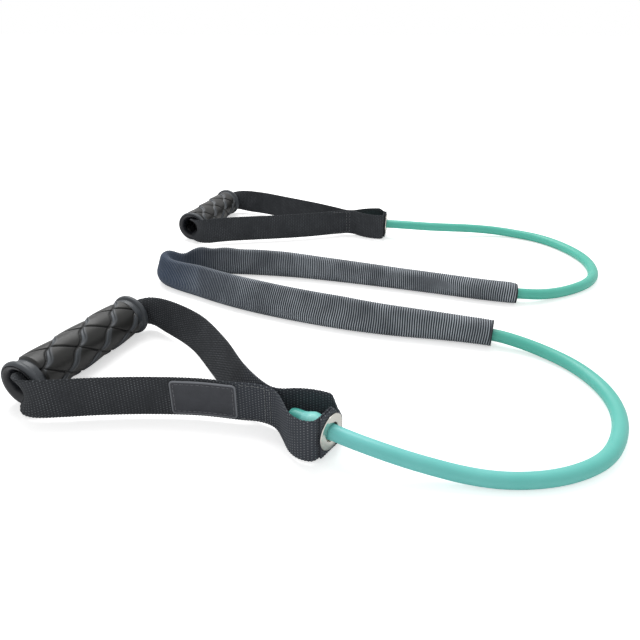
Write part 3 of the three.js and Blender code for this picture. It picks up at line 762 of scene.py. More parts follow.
def strap_path(side):
    """The whole path as x, y, curl and lean, in the frame of the whole band."""
    def loop(along, across):
        at = SEAM[side] + along * LOOP_AXIS[side] + across * LOOP_ACROSS[side]
        return (at[0], at[1], 0, 0)

    def arm(x, y, curl=0, lean=0):
        at = GRIP_CENTRE[side] + x * GRIP_SIDE[side] + y * GRIP_AXIS[side]
        return (at[0], at[1], math.radians(curl), math.radians(lean))

    rows = ARMS[side]
    bed = GRIP_LENGTH / 2 - BUSH_LENGTH
    outer = [(a + LAYER_PITCH * (a > LOOP_LENGTH - LOOP_CORNER), c) for a, c in LOOP_SIDE]
    return np.array([
        loop(LOOP_LENGTH, LAP_REACH),
        loop(LOOP_LENGTH, 0),
        *(loop(a, -c) for a, c in LOOP_NEAR[side][::-1]),
        loop(-SEAM_LENGTH, -LAYER_PITCH / 2),
        *(arm(x * MM, y * MM, *rest) for x, y, *rest in rows["near"]),
        *(arm(BORE_BED, y, BORE_CURL) for y in (-bed, 0, bed)),
        *(arm(x * MM, y * MM, *rest) for x, y, *rest in rows["far"]),
        loop(-SEAM_LENGTH, LAYER_PITCH / 2),
        *(loop(a, c) for a, c in outer),
        loop(LOOP_LENGTH + LAYER_PITCH, 0),
        loop(LOOP_LENGTH + LAYER_PITCH, -LAP_REACH),
    ])


WEB_STEP = WEFT_PITCH / 4


def strap_line(side):
    """The path at the weave's own spacing: distance, x, y, curl, lean, heading."""
    points = strap_path(side)
    fine = catmull_rom(points[:, :2], 40)
    index = np.arange(len(fine)) / 40
    bends = np.column_stack([np.interp(index, np.arange(len(points)), c) for c in points[:, 2:].T])
    bends = smoothed(bends, 14)
    along, rows = evenly(fine, WEB_STEP, bends)
    ahead = unit(np.gradient(rows[:, :2], axis=0))
    return along, rows, ahead


def web_points(rows, ahead, across, out):
    """Points of a web at distances across it and out from its middle layer."""
    curl, lean = rows[:, 2:3], rows[:, 3:4]
    turn = curl * across / WEB_WIDTH
    radius = WEB_WIDTH / np.maximum(curl, 1e-3)
    flat = curl < 1e-3
    depth = np.where(flat, 0, radius * (1 - np.cos(turn)))
    rise = np.where(flat, across, radius * np.sin(turn))
    depth = depth + out * np.cos(turn)
    rise = rise - out * np.sin(turn)
    leant = depth * np.cos(lean) + rise * np.sin(lean)
    up = rise * np.cos(lean) - depth * np.sin(lean)
    x = rows[:, 0:1] - ahead[:, 1:2] * leant
    y = rows[:, 1:2] + ahead[:, 0:1] * leant
    return np.stack([x, y, AXIS_HEIGHT + up], -1)


# %% The straps' meshes
WEB_ACROSS = 25
WEFT_HEIGHT = 0.13 * MM
SCALLOP = 0.22 * MM
EYELET_HOLE = 7.7 * MM
LAP_INSIDE = LOOP_LENGTH - WEB_THICK / 2
LAP_OUTSIDE = LOOP_LENGTH + LAYER_PITCH + WEB_THICK / 2


def punch(piece, side):
    """Cuts the grommet's hole through both layers of the loop's end."""
    reach = 3 * MM
    rings = around_axis([(EYELET_HOLE, LAP_INSIDE - reach), (EYELET_HOLE, LAP_OUTSIDE + reach)],
                        SEAM[side], LOOP_AXIS[side], 48)
    cutter = add_rings("cutter", rings, WEBBING, f"handle_{side}")
    cut = piece.modifiers.new("grommet_hole", "BOOLEAN")
    cut.operation = "DIFFERENCE"
    cut.solver = "MANIFOLD"
    cut.object = cutter
    before = len(piece.data.vertices)
    evaluated = piece.evaluated_get(bpy.context.evaluated_depsgraph_get())
    done = bpy.data.meshes.new_from_object(evaluated)
    # The modifier only warns when it can't cut, and then hands back the uncut web.
    assert len(done.vertices) != before, f"{piece.name}: the hole wasn't cut"
    piece.modifiers.clear()
    piece.data = done
    bpy.data.objects.remove(cutter)
    print(f"{piece.name}: {before} points, {len(done.vertices)} with the hole")


# How far the loop's top far corner is crushed down and leans back, by handle.
CRUSH = {"a": (12 * MM, 2.5 * MM), "b": (4 * MM, 1.5 * MM)}
FLANGE_CLEAR = 13.5 * MM


def crushed(points, side):
    """Presses down the loop's top far corner, clear of the grommet's flange."""
    from_seam = points - SEAM[side]
    along = from_seam @ LOOP_AXIS[side]
    across = from_seam @ LOOP_ACROSS[side]
    up = np.clip(from_seam[..., 2], 0, None)
    share = smoothstep(3 * MM, 15 * MM, across) * smoothstep(36 * MM, 47 * MM, along)
    height = up / (WEB_WIDTH / 2)
    down, back = CRUSH[side]
    clear = smoothstep(FLANGE_CLEAR, FLANGE_CLEAR + 5 * MM, np.hypot(across, up))
    lowered = (down * share * height**1.5)[..., None] * UP
    return points - lowered - (back * share * height * clear)[..., None] * LOOP_AXIS[side]


# Painted light on the web, by handle: how much its crowns and ground are painted paler near the seam,
# and how much its crowns are painted paler or darker everywhere.
PAINTED_LIGHT_NEAR_SEAM = {"a": 1.0, "b": 0.0}
PAINTED_LIGHT_ALL_OVER = {"a": 0.0, "b": -0.5}


def strap(side):
    along, rows, ahead = strap_line(side)
    across = np.linspace(-1, 1, WEB_ACROSS) * 0.965
    face = np.concatenate([across, [1], across[::-1], [-1]])
    out_sign = np.concatenate([-np.ones(WEB_ACROSS), [0], np.ones(WEB_ACROSS), [0]])
    rounding = 1 - 0.45 * np.abs(face) ** 16
    weft = np.cos(2 * math.pi * along / WEFT_PITCH)[:, None]
    scallop = SCALLOP * weft * np.abs(face) ** 10 * np.sign(face)
    wide = face[None] * (WEB_WIDTH / 2 - SCALLOP) + scallop
    out = out_sign * (rounding * WEB_THICK / 2 - WEFT_HEIGHT + WEFT_HEIGHT * weft * np.abs(out_sign))
    # The cut ends have rounded corners.
    from_end = np.minimum(along, along[-1] - along)[:, None]
    wide = wide * (1 - 0.07 * np.exp(-from_end / (1.2 * MM)) * np.abs(face) ** 6)
    rings = crushed(web_points(rows, ahead, wide, out), side)
    spread = np.broadcast_to(along[:, None], wide.shape)
    # Painted light: the web is painted paler near the seam and round the loop, to lift the shade inside
    # the loop.
    from_seam = (rings - SEAM[side]) @ LOOP_AXIS[side]
    pulled = PAINTED_LIGHT_NEAR_SEAM[side] * smoothstep(-45 * MM, -15 * MM, from_seam) + PAINTED_LIGHT_ALL_OVER[side]
    # In the grip's mouth the web lies in shade, and painted shade keeps its crowns dark.
    pulled = pulled - 0.7 * smoothstep(math.radians(40), math.radians(120), rows[:, 2:3])
    piece = add_rings(f"webbing_strap_{side}", rings, WEBBING, f"handle_{side}",
                      {"along": spread, "across": wide, "pulled": pulled})
    punch(piece, side)
    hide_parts(f"strap_{side}")
    print(f"strap {side}: {along[-1]:.4f} m of web")


for side in "ab":
    strap(side)

# %% [markdown]
# ### Moulded rubber
#
# The grips are injection-moulded thermoplastic rubber. The mould is blasted, so the
# skin is a fine satin: roughness 0.34 to 0.5, with broad soft highlights. The ledges
# and rims are painted a paler grey, a painted highlight, and the grooves are painted
# dark, a painted shade; the mesh stores the height of the relief and the strength of
# the painted highlight as attributes.

# %% Moulded rubber material
def moulded_rubber():
    material, tree, shader = new_material("moulded_rubber")
    relief = attribute(tree, "relief")
    place = node(tree, "TexCoord", out="Object")
    blotch = noise(tree, place, 70, 4)
    skin = blend(tree, blotch, "#171818", "#252523")
    polish = attribute(tree, "polish")
    with_painted_sheen = blend(tree, polish, skin, "#70777f")
    # Painted shade darkens the grooves.
    deep = ranged(tree, relief, -2.2 * MM, -1.2 * MM, 0.9, 0)
    colour = blend(tree, deep, with_painted_sheen, "#101112")
    tree.links.new(colour, shader.inputs["Base Color"])
    # Blasted mould texture, 0.25 mm grains drawn at 0.4 mm.
    grain = noise(tree, place, 1 / (0.4 * MM), 2)
    bumped(tree, shader, grain, 0.18, 0.1 * MM)
    rough = ranged(tree, blotch, 0.3, 0.7, 0.34, 0.5)
    tree.links.new(rough, shader.inputs["Roughness"])
    # Carbon-filled rubber with a blasted skin mirrors less than a polished one.
    shader.inputs["IOR"].default_value = 1.51
    shader.inputs["Specular IOR Level"].default_value = 0.36
    return material


RUBBER = moulded_rubber()

# %% [markdown]
# ## The grips
#
# A grip is a rubber sleeve with a relief like plaited leather: two families of
# grooves wind round it in opposite directions and leave diamond pads. The grooves
# that rise to the right are wide, with a narrow ledge in them; the others are fine
# cuts. A smooth collar and a fat rounded rim finish each end. The relief is a height
# field over a cylinder, so it is worked out from where a point lies between the two
# families of grooves, and the silhouette gets its steps from real geometry.

# %% The grips' relief
PAD_PITCH = 36 * MM
STARTS = 4
PAD_RADIUS = 18.2 * MM
RELIEF_HALF = 53.5 * MM
COLLAR_RADIUS = 16.2 * MM
GRIP_AROUND = 232
GRIP_STEP = 0.48 * MM
# Where two grooves cross: distance along the grip, and degrees up from the side
# that faces the loop.
CROSSING = {"a": (2 * MM, 82), "b": (-8 * MM, 60)}
GROOVE_TURN = PAD_PITCH, 2 * math.pi * PAD_RADIUS / STARTS
GROOVE_SPACING = math.prod(GROOVE_TURN) / math.hypot(*GROOVE_TURN)


def braid_relief(y, angle, crossing):
    """Height of the plaited relief above the pads' radius, and its painted highlight."""
    start, up = crossing
    step = (y - start) / PAD_PITCH
    turn = (angle - math.radians(up)) * STARTS / (2 * math.pi)
    wide = step - turn
    fine = step + turn
    wide = wide - 0.05 * np.sin(2 * math.pi * fine)
    in_wide, in_fine = wide - np.floor(wide), fine - np.floor(fine)
    from_wide = in_wide * GROOVE_SPACING
    to_wide = (1 - in_wide) * GROOVE_SPACING
    to_fine = np.minimum(in_fine, 1 - in_fine) * GROOVE_SPACING
    # The ledge is a lens: it narrows where two grooves cross.
    ledge = 0.6 * MM + 2.3 * MM * np.sin(math.pi * in_fine) ** 0.8
    on_ledge = smoothstep(ledge + 0.25 * MM, ledge - 0.25 * MM, from_wide)
    # A pad starts high behind its ledge and slopes down to the next groove.
    dome = 0.75 * MM * (1 - np.sin(math.pi * in_fine) ** 0.45)
    slope = 1.5 * MM * in_wide**1.3
    height = -(dome + slope) * (1 - on_ledge) - 1.15 * MM * on_ledge
    deep = np.exp(-((np.minimum(from_wide, to_wide) / (0.75 * MM)) ** 2))
    rim_cut = np.exp(-(((from_wide - ledge) / (0.4 * MM)) ** 2))
    fine_cut = np.exp(-((to_fine / (0.6 * MM)) ** 2)) * (1 - on_ledge)
    height = height - 1.2 * MM * deep - 0.55 * MM * rim_cut - 1.25 * MM * fine_cut
    # Painted highlight on the ledges and in a band just past them.
    polish = on_ledge * (1 - deep) * smoothstep(0.9 * MM, 1.6 * MM, ledge) * 0.55
    polish = polish + 0.3 * np.exp(-(((from_wide - ledge - 1.1 * MM) / (0.8 * MM)) ** 2))
    return np.clip(height, -3.2 * MM, 0), polish


def grip_outline():
    """Radius and distance from the middle at a grip's end: rim, collar and groove."""
    half = GRIP_LENGTH / 2
    turn = np.linspace(0, math.pi, 15)
    rim_radius, rim_half = 2.1 * MM, 2.75 * MM
    rim_middle = 16.6 * MM
    rim_y = half - 0.3 * MM - rim_half
    rim = [(rim_middle + rim_radius * math.sin(t), rim_y + rim_half * math.cos(t)) for t in turn]
    collar = [(COLLAR_RADIUS, y) for y in np.arange(58.4, 54.4, -0.5) * MM]
    groove = [(COLLAR_RADIUS - 0.5 * MM, 54.1 * MM), (COLLAR_RADIUS - 0.4 * MM, 53.8 * MM)]
    return rim + collar + groove


def grip(side):
    end = grip_outline()
    body_y = np.arange(RELIEF_HALF, -RELIEF_HALF - GRIP_STEP / 2, -GRIP_STEP)
    rows = end + [(None, y) for y in body_y] + [(r, -y) for r, y in reversed(end)]
    y = np.array([row[1] for row in rows])
    angle = np.linspace(0, 2 * math.pi, GRIP_AROUND, endpoint=False)
    relief, polish = braid_relief(y[:, None], angle[None], CROSSING[side])
    # Pads round off towards the collars.
    edge = smoothstep(0, 2.2 * MM, RELIEF_HALF - np.abs(y))[:, None]
    relief = relief - 0.9 * MM * (1 - edge)
    radius = np.where([[row[0] is None] for row in rows], PAD_RADIUS + relief,
                      np.array([[row[0] or 0] for row in rows]))
    shown = np.where([[row[0] is None] for row in rows], relief, -0.3 * MM)
    # The rims and collars get an even painted highlight, and the relief's fades towards them.
    polish = np.where([[row[0] is None] for row in rows], polish * edge, 0.32)
    # The bore and the seat of the bush close the solid.
    inner = [(16.6, 0.5), (16.55, 1.9), (14.65, 3.9), (14.6, 10.3), (13.35, 10.3)]
    half = GRIP_LENGTH / 2
    seat = [(r * MM, d * MM - half) for r, d in inner]
    seat = seat + [(r, -d) for r, d in reversed(seat)]
    y = np.concatenate([y, [d for _, d in seat]])
    radius = np.vstack([radius, np.repeat([[r] for r, _ in seat], GRIP_AROUND, 1)])
    shown = np.vstack([shown, np.full((len(seat), GRIP_AROUND), -0.3 * MM)])
    polish = np.vstack([polish, np.zeros((len(seat), GRIP_AROUND))])
    turn = (np.cos(angle)[:, None] * GRIP_SIDE[side] + np.sin(angle)[:, None] * UP)
    rings = (GRIP_CENTRE[side] + y[:, None, None] * GRIP_AXIS[side]
             + radius[..., None] * turn[None])
    piece = add_rings(f"braided_grip_{side}", rings, RUBBER, f"grip_body_{side}",
                      {"relief": shown, "polish": polish}, closed=True)
    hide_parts(f"grip_{side}")


for side in "ab":
    grip(side)

# %% [markdown]
# ### Hard plastic
#
# The bushes are moulded acetal, the end plugs turned acetal and the cores extruded
# ABS. All are black and a little glossier than the rubber. The marks that the tools
# leave are drawn as one faint even grain, finest on the plugs and coarsest on the
# cores.

# %% Hard plastic materials
def hard_plastic(name, base, roughness, grain_scale):
    material, tree, shader = new_material(name)
    place = node(tree, "TexCoord", out="Object")
    cloud = noise(tree, place, 90, 3)
    colour = blend(tree, cloud, base, "#2c2e33")
    tree.links.new(colour, shader.inputs["Base Color"])
    marks = noise(tree, place, grain_scale, 3)
    bumped(tree, shader, marks, 0.15, 0.05 * MM)
    rough = ranged(tree, marks, 0, 1, roughness - 0.06, roughness + 0.08)
    tree.links.new(rough, shader.inputs["Roughness"])
    shader.inputs["IOR"].default_value = 1.5
    return material


BUSH_ACETAL = hard_plastic("moulded_acetal", "#1d1f24", 0.34, 900)
CORE_ABS = hard_plastic("extruded_abs", "#1a1b1f", 0.42, 400)
PLUG_ACETAL = hard_plastic("turned_acetal", "#202227", 0.3, 1200)
for side in "ab":
    core = frame["nodes"][f"grip_core_{side}"]
    core.data.materials.clear()
    core.data.materials.append(CORE_ABS)

# %% [markdown]
# ### Nickel plate
#
# The grommets are stamped brass with bright nickel plate. A metal's colour is its
# reflection, so the base colour is nearly white with a little yellow; it is painted
# darker at a glancing angle, a painted shade that rounds the dome. Roughness stays
# low, and a fine grain breaks up the highlight.

# %% Nickel material
def nickel_plate():
    material, tree, shader = new_material("nickel_plate")
    place = node(tree, "TexCoord", out="Object")
    haze = noise(tree, place, 300, 4)
    colour = blend(tree, haze, "#dedbd3", "#f2efe8")
    # Painted shade: the colour darkens where the surface turns away from the camera.
    glance = node(tree, "LayerWeight", {"Blend": 0.25}, out="Facing")
    with_painted_shade = blend(tree, glance, colour, "#7d7a72")
    tree.links.new(with_painted_shade, shader.inputs["Base Color"])
    grain = noise(tree, place, 2500, 2)
    bumped(tree, shader, grain, 0.06, 0.05 * MM)
    rough = ranged(tree, haze, 0.3, 0.7, 0.14, 0.28)
    tree.links.new(rough, shader.inputs["Roughness"])
    shader.inputs["Metallic"].default_value = 1
    return material


NICKEL = nickel_plate()

# %% [markdown]
# ## Turned pieces
#
# Bushes, eyelets, washers and plugs are bodies of revolution. Each is an outline
# spun about its axis, with enough sides to look round, and with the small radii
# that tools leave: the eyelet's flange is domed and its barrel is rolled over the
# washer.

# %% Turned pieces
TURNED_SIDES = 96


def arc(middle, radius, start, end, steps):
    """Points of an arc in the plane of an outline; angles in degrees from outwards."""
    angles = np.radians(np.linspace(start, end, steps))
    return [(middle[0] + radius * math.cos(t), middle[1] + radius * math.sin(t)) for t in angles]


def turned(name, outline_mm, origin, axis, material, body, cad_node):
    rings = around_axis(np.array(outline_mm) * MM, origin, axis, TURNED_SIDES)
    piece = add_rings(name, rings, material, body, closed=True)
    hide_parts(cad_node)


# [radius, distance from the cross seam] in millimetres: up the bore, over the
# domed flange, back under it and down the barrel to its rolled end.
EYELET = [
    (6.75, 42.6), (6.75, 48.4), *arc((7.75, 48.55), 1.0, 170, 90, 6), (8.9, 49.68),
    (10.4, 49.5), (11.8, 49.1), *arc((12.4, 48.5), 0.6, 65, -80, 8), (11.8, 48.3),
    (7.35, 48.3), (7.35, 43.1), (7.9, 42.75), (8.5, 42.7), (8.6, 42.35), (8.0, 42.0),
    (7.2, 42.05), (6.85, 42.3),
]
WASHER = [
    (7.75, 42.85), (11.1, 42.8), *arc((11.2, 43.1), 0.3, -90, 60, 5), (10.6, 43.75),
    (8.0, 43.8), (7.75, 43.6),
]
PLUG = [
    (0.05, 0.2), (1.2, 0.2), (1.4, -0.5), (2.6, -0.8), (3.0, -0.4), (3.0, 9.4),
    (5.2, 14.5), (5.2, 19.2), (3.0, 23.2), (0.05, 23.4),
]
# Angles round the bush's lip, and down its bell-shaped throat.
BUSH_LIP = (0.4, 1.0, 1.57)
BUSH_THROAT = np.radians([80, 65, 50, 35, 20, 8, 0])
# From the middle of the grip, for the bush at the +y end.
BUSH_MOUTH = [
    (11.0, 55.0), (14.3, 55.0), (14.3, 61.4), (16.3, 63.3), (16.3, 64.3),
    *((16.2 - 0.5 * math.cos(t), 64.4 + 0.5 * math.sin(t)) for t in BUSH_LIP),
    *((11.0 + 4.7 * (1 - math.cos(t)), 57.5 + 7.4 * math.sin(t)) for t in BUSH_THROAT),
]
for side in "ab":
    handle_body, grip_body = f"handle_{side}", f"grip_body_{side}"
    turned(f"eyelet_{side}", EYELET, SEAM[side], LOOP_AXIS[side], NICKEL, handle_body,
           f"grommet_eyelet_{side}")
    turned(f"washer_{side}", WASHER, SEAM[side], LOOP_AXIS[side], NICKEL, handle_body,
           f"grommet_washer_{side}")
    turned(f"tube_plug_{side}", PLUG, on_axis(side, TUBE_TIP), LOOP_AXIS[side], PLUG_ACETAL,
           "band", f"end_plug_{side}")
    for end, way in (("near", -1), ("far", 1)):
        turned(f"bell_bush_{end}_{side}", BUSH_MOUTH, GRIP_CENTRE[side], way * GRIP_AXIS[side],
               BUSH_ACETAL, grip_body, f"bush_{end}_{side}")

# %% [markdown]
# ### Vinyl and thread
#
# The label patch is calendered PVC: a slate sheet with a fine leather emboss and a
# paler cut edge, which also carries a painted highlight. The thread is bonded
# polyester, 0.5 mm thick; each stitch is its own small bead, because a sewn line
# reads by the gaps between its stitches.

# %% Vinyl and thread materials
def embossed_vinyl():
    material, tree, shader = new_material("embossed_vinyl")
    rim = attribute(tree, "rim")
    place = node(tree, "TexCoord", out="Object")
    tone = noise(tree, place, 150, 3)
    sheet = blend(tree, tone, "#2a2c32", "#3f4249")
    # The edge is painted paler: partly the cut edge's own colour, partly a painted highlight.
    colour = blend(tree, rim, sheet, "#7d8086")
    tree.links.new(colour, shader.inputs["Base Color"])
    # The emboss is 0.8 mm pebbles.
    pebble = node(tree, "TexVoronoi", {"Vector": place, "Scale": 1 / (0.8 * MM)})
    bumped(tree, shader, pebble, 0.6, 0.2 * MM)
    shader.inputs["Roughness"].default_value = 0.55
    shader.inputs["IOR"].default_value = 1.53
    return material


def bonded_thread(name, colour):
    material, tree, shader = new_material(name)
    place = node(tree, "TexCoord", out="Object")
    twist = noise(tree, place, 2200, 1)
    shade = blend(tree, twist, "#2a2b2d", colour)
    tree.links.new(shade, shader.inputs["Base Color"])
    shader.inputs["Roughness"].default_value = 0.6
    shader.inputs["Sheen Weight"].default_value = 0.2
    return material


VINYL = embossed_vinyl()
THREAD = bonded_thread("bonded_thread", "#a8abae")
SLATE_THREAD = bonded_thread("slate_thread", "#9a9aa2")

# %% [markdown]
# ## The label patch
#
# A blank vinyl patch is sewn to the outer face of the near arm. It is a sheet that
# follows the strap: a flat grid whose square border is drawn in to round corners,
# laid on the strap by distance along it. A raised bead runs round it just inside
# the edge, and the border stitching sinks a shallow channel.

# %% The label patch
PATCH_LENGTH = 49 * MM
PATCH_HEIGHT = 28 * MM
PATCH_THICK = 0.8 * MM
PATCH_START = 110.5 * MM
PATCH_CORNER = 3 * MM
PATCH_STITCH_IN = 2.6 * MM
PATCH_COLUMNS = 95
PATCH_LINES = 57
ARM_START = 100 * MM


class StrapFace:
    """Places points on the outer face of a strap by distance along and across it."""

    def __init__(self, side):
        self.along, self.rows, self.ahead = strap_line(side)

    def at(self, along, across, out):
        """World points; `out` is the height above the strap's outer face."""
        pick = lambda values: np.column_stack(
            [np.interp(np.ravel(along), self.along, c) for c in values.T])
        reach = np.ravel(out)[:, None] + WEB_THICK / 2
        points = web_points(pick(self.rows), unit(pick(self.ahead)), np.ravel(across)[:, None], reach)
        return points[:, 0].reshape(np.shape(along) + (3,))


FACES = {side: StrapFace(side) for side in "ab"}


def near_arm_distance(side, x):
    """How far along the strap its near arm is at a distance x from the grip's axis."""
    face = FACES[side]
    flat = np.column_stack([face.rows[:, :2], 0 * face.along])
    from_grip = (flat - GRIP_CENTRE[side]) @ GRIP_SIDE[side]
    # The arm starts past the loop and ends where the web curls to enter the grip.
    curls = np.argmax(np.abs(face.rows[:, 2]) > math.radians(100))
    on_arm = (face.along >= ARM_START) & (np.arange(len(face.along)) < curls)
    return face.along[np.argmin(np.where(on_arm, np.abs(from_grip - x), np.inf))]


def rounded(u, v, half_u, half_v, corner):
    """Draws the corners of the square [-1, 1] grid in to a rounded rectangle."""
    x, y = u * half_u, v * half_v
    over_x = np.clip(np.abs(x) - (half_u - corner), 0, None)
    over_y = np.clip(np.abs(y) - (half_v - corner), 0, None)
    far = np.hypot(over_x, over_y)
    most = np.maximum(over_x, over_y)
    pull = np.where(far > 0, most / np.maximum(far, 1e-9), 1)
    x = np.sign(x) * (np.abs(x) - over_x * (1 - pull))
    y = np.sign(y) * (np.abs(y) - over_y * (1 - pull))
    return x, y


def label_patch():
    start = near_arm_distance("a", PATCH_START + PATCH_LENGTH)
    middle = start + PATCH_LENGTH / 2
    columns, lines = PATCH_COLUMNS, PATCH_LINES
    u, v = np.meshgrid(np.linspace(-1, 1, columns), np.linspace(-1, 1, lines), indexing="ij")
    x, y = rounded(u, v, PATCH_LENGTH / 2, PATCH_HEIGHT / 2, PATCH_CORNER)
    inside = np.minimum((1 - np.abs(u)) * PATCH_LENGTH, (1 - np.abs(v)) * PATCH_HEIGHT) / 2
    bead = 0.28 * MM * np.exp(-(((inside - 0.9 * MM) / (0.5 * MM)) ** 2))
    channel = -0.18 * MM * np.exp(-(((inside - PATCH_STITCH_IN) / (0.5 * MM)) ** 2))
    edge = -0.25 * MM * np.exp(-inside / (0.25 * MM))
    top = WEB_GAP + PATCH_THICK + bead + channel + edge
    face = FACES["a"]
    upper = face.at(middle + x, y, top).reshape(-1, 3)
    lower = face.at(middle + x, y, np.full_like(x, 0.1 * MM)).reshape(-1, 3)
    count = columns * lines
    i, j = np.meshgrid(np.arange(columns - 1), np.arange(lines - 1), indexing="ij")
    a = (i * lines + j).ravel()
    quads = np.column_stack([a, a + lines, a + lines + 1, a + 1])
    faces = quads.tolist() + (quads[:, ::-1] + count).tolist()
    border = [*range(0, count - lines, lines), *range(count - lines, count - 1),
              *range(count - 1, lines - 1, -lines), *range(lines - 1, 0, -1)]
    faces += [[a, b, b + count, a + count][::-1] for a, b in zip(border, border[1:] + border[:1])]
    rim = smoothstep(1.3 * MM, 0.7 * MM, inside).ravel()
    piece = add_piece("vinyl_patch", np.vstack([upper, lower]), faces,
                      {"rim": np.concatenate([rim, rim])}, VINYL, "handle_a")
    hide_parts("label_patch")
    return middle


patch_middle = label_patch()

# %% [markdown]
# ## Sewing
#
# A sewing machine leaves a row of equal stitches. Each is a bead of a few small rings
# that dips into the cloth at both ends, and the beads follow a line drawn on the
# strap's face. The patch has a line round its border, and each handle has two lines
# along and two across the place where its two arms are joined.

# %% Stitches
STITCH_LENGTH = 2.9 * MM
STITCH_GAP = 0.9 * MM
THREAD_RADIUS = 0.24 * MM
STITCH_RINGS = 5
THREAD_SIDES = 6
# The lines along and across the place where a handle's two arms are joined.
SEAM_LINES_START = 1 * MM
SEAM_LINES_END = 25 * MM
SEAM_LINES_IN = 2.4 * MM
SEAM_LINES_APART = 4.6 * MM
THREAD_LIFT = 0.05 * MM


def stitches(line, outwards):
    """Points and faces of beads laid end to end on a line of world points."""
    along = lengths_along(line)
    count = max(1, int(along[-1] // (STITCH_LENGTH + STITCH_GAP)))
    points, faces = [], []
    angle = np.linspace(0, 2 * math.pi, THREAD_SIDES, endpoint=False)
    for k in range(count):
        first = (k + 0.5) * along[-1] / count - STITCH_LENGTH / 2
        share = np.linspace(0, 1, STITCH_RINGS)
        at = first + share * STITCH_LENGTH
        middle = np.column_stack([np.interp(at, along, c) for c in line.T])
        out = unit(np.column_stack([np.interp(at, along, c) for c in outwards.T]))
        ahead = unit(np.gradient(middle, axis=0))
        beside = np.cross(ahead, out)
        swell = np.sin(math.pi * (0.08 + 0.84 * share))
        middle = middle + out * (THREAD_RADIUS * (2 * swell - 1.1))[:, None]
        radius = (THREAD_RADIUS * swell**0.4)[:, None, None]
        rings = middle[:, None] + radius * (np.cos(angle)[None, :, None] * beside[:, None]
                                            + np.sin(angle)[None, :, None] * out[:, None])
        base = len(points) * STITCH_RINGS * THREAD_SIDES
        points.append(rings.reshape(-1, 3))
        faces += ring_faces(STITCH_RINGS, THREAD_SIDES, first=base)
        last = base + (STITCH_RINGS - 1) * THREAD_SIDES
        faces.append(list(range(base + THREAD_SIDES - 1, base - 1, -1)))
        faces.append(list(range(last, last + THREAD_SIDES)))
    return np.vstack(points), faces


def sewn(name, lines, material, body):
    """One piece from several sewn lines, each a pair of line and outward directions."""
    all_points, all_faces = [], []
    for line, outwards in lines:
        points, faces = stitches(line, outwards)
        first = sum(len(p) for p in all_points)
        all_points.append(points)
        all_faces += [[v + first for v in face] for face in faces]
    piece = add_piece(name, np.vstack(all_points), all_faces, {}, material, body)
    return piece


def on_face(side, along, across, out):
    """A line on a strap's outer face, and the face's outward direction there."""
    face = FACES[side]
    low = face.at(along, across, np.full_like(along, out))
    high = face.at(along, across, np.full_like(along, out + MM))
    return low, unit(high - low)


def patch_border():
    half_u = PATCH_LENGTH / 2 - PATCH_STITCH_IN
    half_v = PATCH_HEIGHT / 2 - PATCH_STITCH_IN
    turn = np.linspace(0, 2 * math.pi, 400)
    u, v = np.cos(turn), np.sin(turn)
    scale = 1 / np.maximum(np.abs(u) / half_u, np.abs(v) / half_v)
    x, y = rounded(u * scale / half_u, v * scale / half_v, half_u, half_v, 1.5 * MM)
    return on_face("a", patch_middle + x, y, WEB_GAP + PATCH_THICK - 0.12 * MM)


sewn("patch_stitching", [patch_border()], SLATE_THREAD, "handle_a")


def seam_lines(side):
    """Lines along and across the near arm where the two arms are sewn together."""
    face = FACES[side]
    flat = np.column_stack([face.rows[:, :2], 0 * face.along])
    from_seam = (flat - SEAM[side]) @ LOOP_AXIS[side]
    near = np.argmax((face.along > 0.03) & (from_seam < 0))
    seam = face.along[near]
    first, last = seam + SEAM_LINES_START, seam + SEAM_LINES_END
    edge = WEB_WIDTH / 2 - SEAM_LINES_IN
    lines = []
    for across in (edge, -edge):
        along = np.linspace(first, last, 60)
        lines.append(on_face(side, along, np.full_like(along, across), THREAD_LIFT))
    for at in (first, first + SEAM_LINES_APART):
        across = np.linspace(-edge, edge, 60)
        lines.append(on_face(side, np.full_like(across, at), across, THREAD_LIFT))
    return lines


for side in "ab":
    sewn(f"seam_stitching_{side}", seam_lines(side), THREAD, f"handle_{side}")

# %% [markdown]
# ## The floor and the light
#
# The floor is plain and pale. Seen straight from the camera it is lifted to white by
# a little emission, so that it joins the background without an edge, while lamps and
# reflections see an ordinary matt floor that keeps the band's soft shadow. The light
# is a bright even sky and one large soft lamp from above and behind, which draws a
# long highlight along the tube.

# %% The floor and the light
def seen_directly(tree):
    """1 where a ray comes straight from the camera or through glass, else 0."""
    path = node(tree, "LightPath").node.outputs
    return maths(tree, "MAXIMUM", path["Is Camera Ray"], path["Is Transmission Ray"])


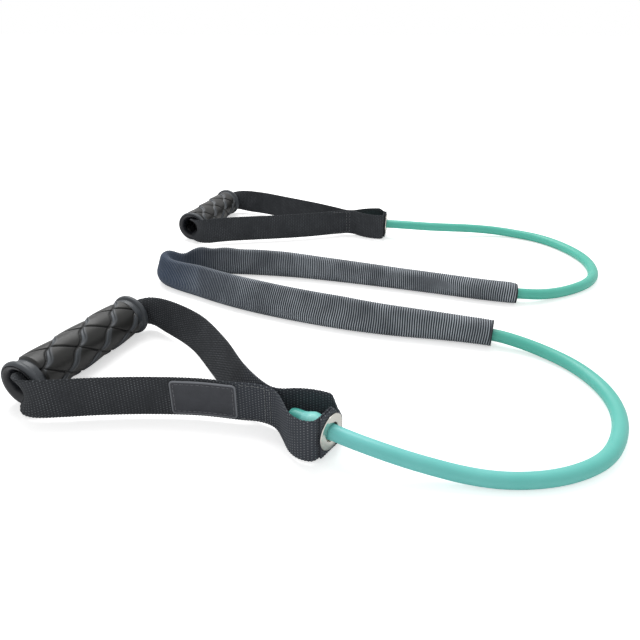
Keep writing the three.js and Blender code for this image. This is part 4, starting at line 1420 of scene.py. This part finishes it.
def floor_material():
    material, tree, shader = new_material("matt_white_floor")
    place = node(tree, "TexCoord", out="Object")
    cloud = node(tree, "TexNoise", {"Vector": place, "Scale": 2})
    colour = blend(tree, cloud, "#f2f2f2", "#f6f6f6")
    tree.links.new(colour, shader.inputs["Base Color"])
    shader.inputs["Roughness"].default_value = 0.9
    shader.inputs["Specular IOR Level"].default_value = 0
    glow = maths(tree, "MULTIPLY", seen_directly(tree), FLOOR_GLOW)
    tree.links.new(glow, shader.inputs["Emission Strength"])
    shader.inputs["Emission Color"].default_value = (1, 1, 1, 1)
    return material


FLOOR_GLOW = 0.55
FLOOR_HALF = 30.0
FLOOR_CORNERS = [(-1, -1), (1, -1), (1, 1), (-1, 1)]
SKY_STRENGTH = 0.62
SKY_MIRRORED = 0.9

floor_mesh = bpy.data.meshes.new("floor")
floor_points = [(x * FLOOR_HALF, y * FLOOR_HALF, 0) for x, y in FLOOR_CORNERS]
floor_mesh.from_pydata(floor_points, [], [(0, 1, 2, 3)])
floor_mesh.materials.append(floor_material())
floor = bpy.data.objects.new("floor", floor_mesh)
bpy.context.scene.collection.objects.link(floor)

world = bpy.data.worlds.new("even_sky")
bpy.context.scene.world = world
world.use_nodes = True
sky = world.node_tree.nodes["Background"]
sky.inputs["Color"].default_value = (1, 1, 1, 1)
mirrored = node(world.node_tree, "LightPath").node.outputs["Is Glossy Ray"]
lit = ranged(world.node_tree, mirrored, 0, 1, SKY_STRENGTH, SKY_MIRRORED)
strength = maths(world.node_tree, "MAXIMUM", lit, seen_directly(world.node_tree))
world.node_tree.links.new(strength, sky.inputs["Strength"])

lamp_data = bpy.data.lights.new("soft_lamp", "AREA")
lamp_data.shape = "RECTANGLE"
lamp_data.size = 1.6
lamp_data.size_y = 0.9
lamp_data.energy = 22
lamp = bpy.data.objects.new("soft_lamp", lamp_data)
lamp.location = (-0.5, 0.75, 1.5)
lamp.rotation_euler = (math.radians(-28), math.radians(-18), 0)
bpy.context.scene.collection.objects.link(lamp)

bpy.context.scene.view_settings.view_transform = "Standard"
print("floor, sky and lamp are in place")
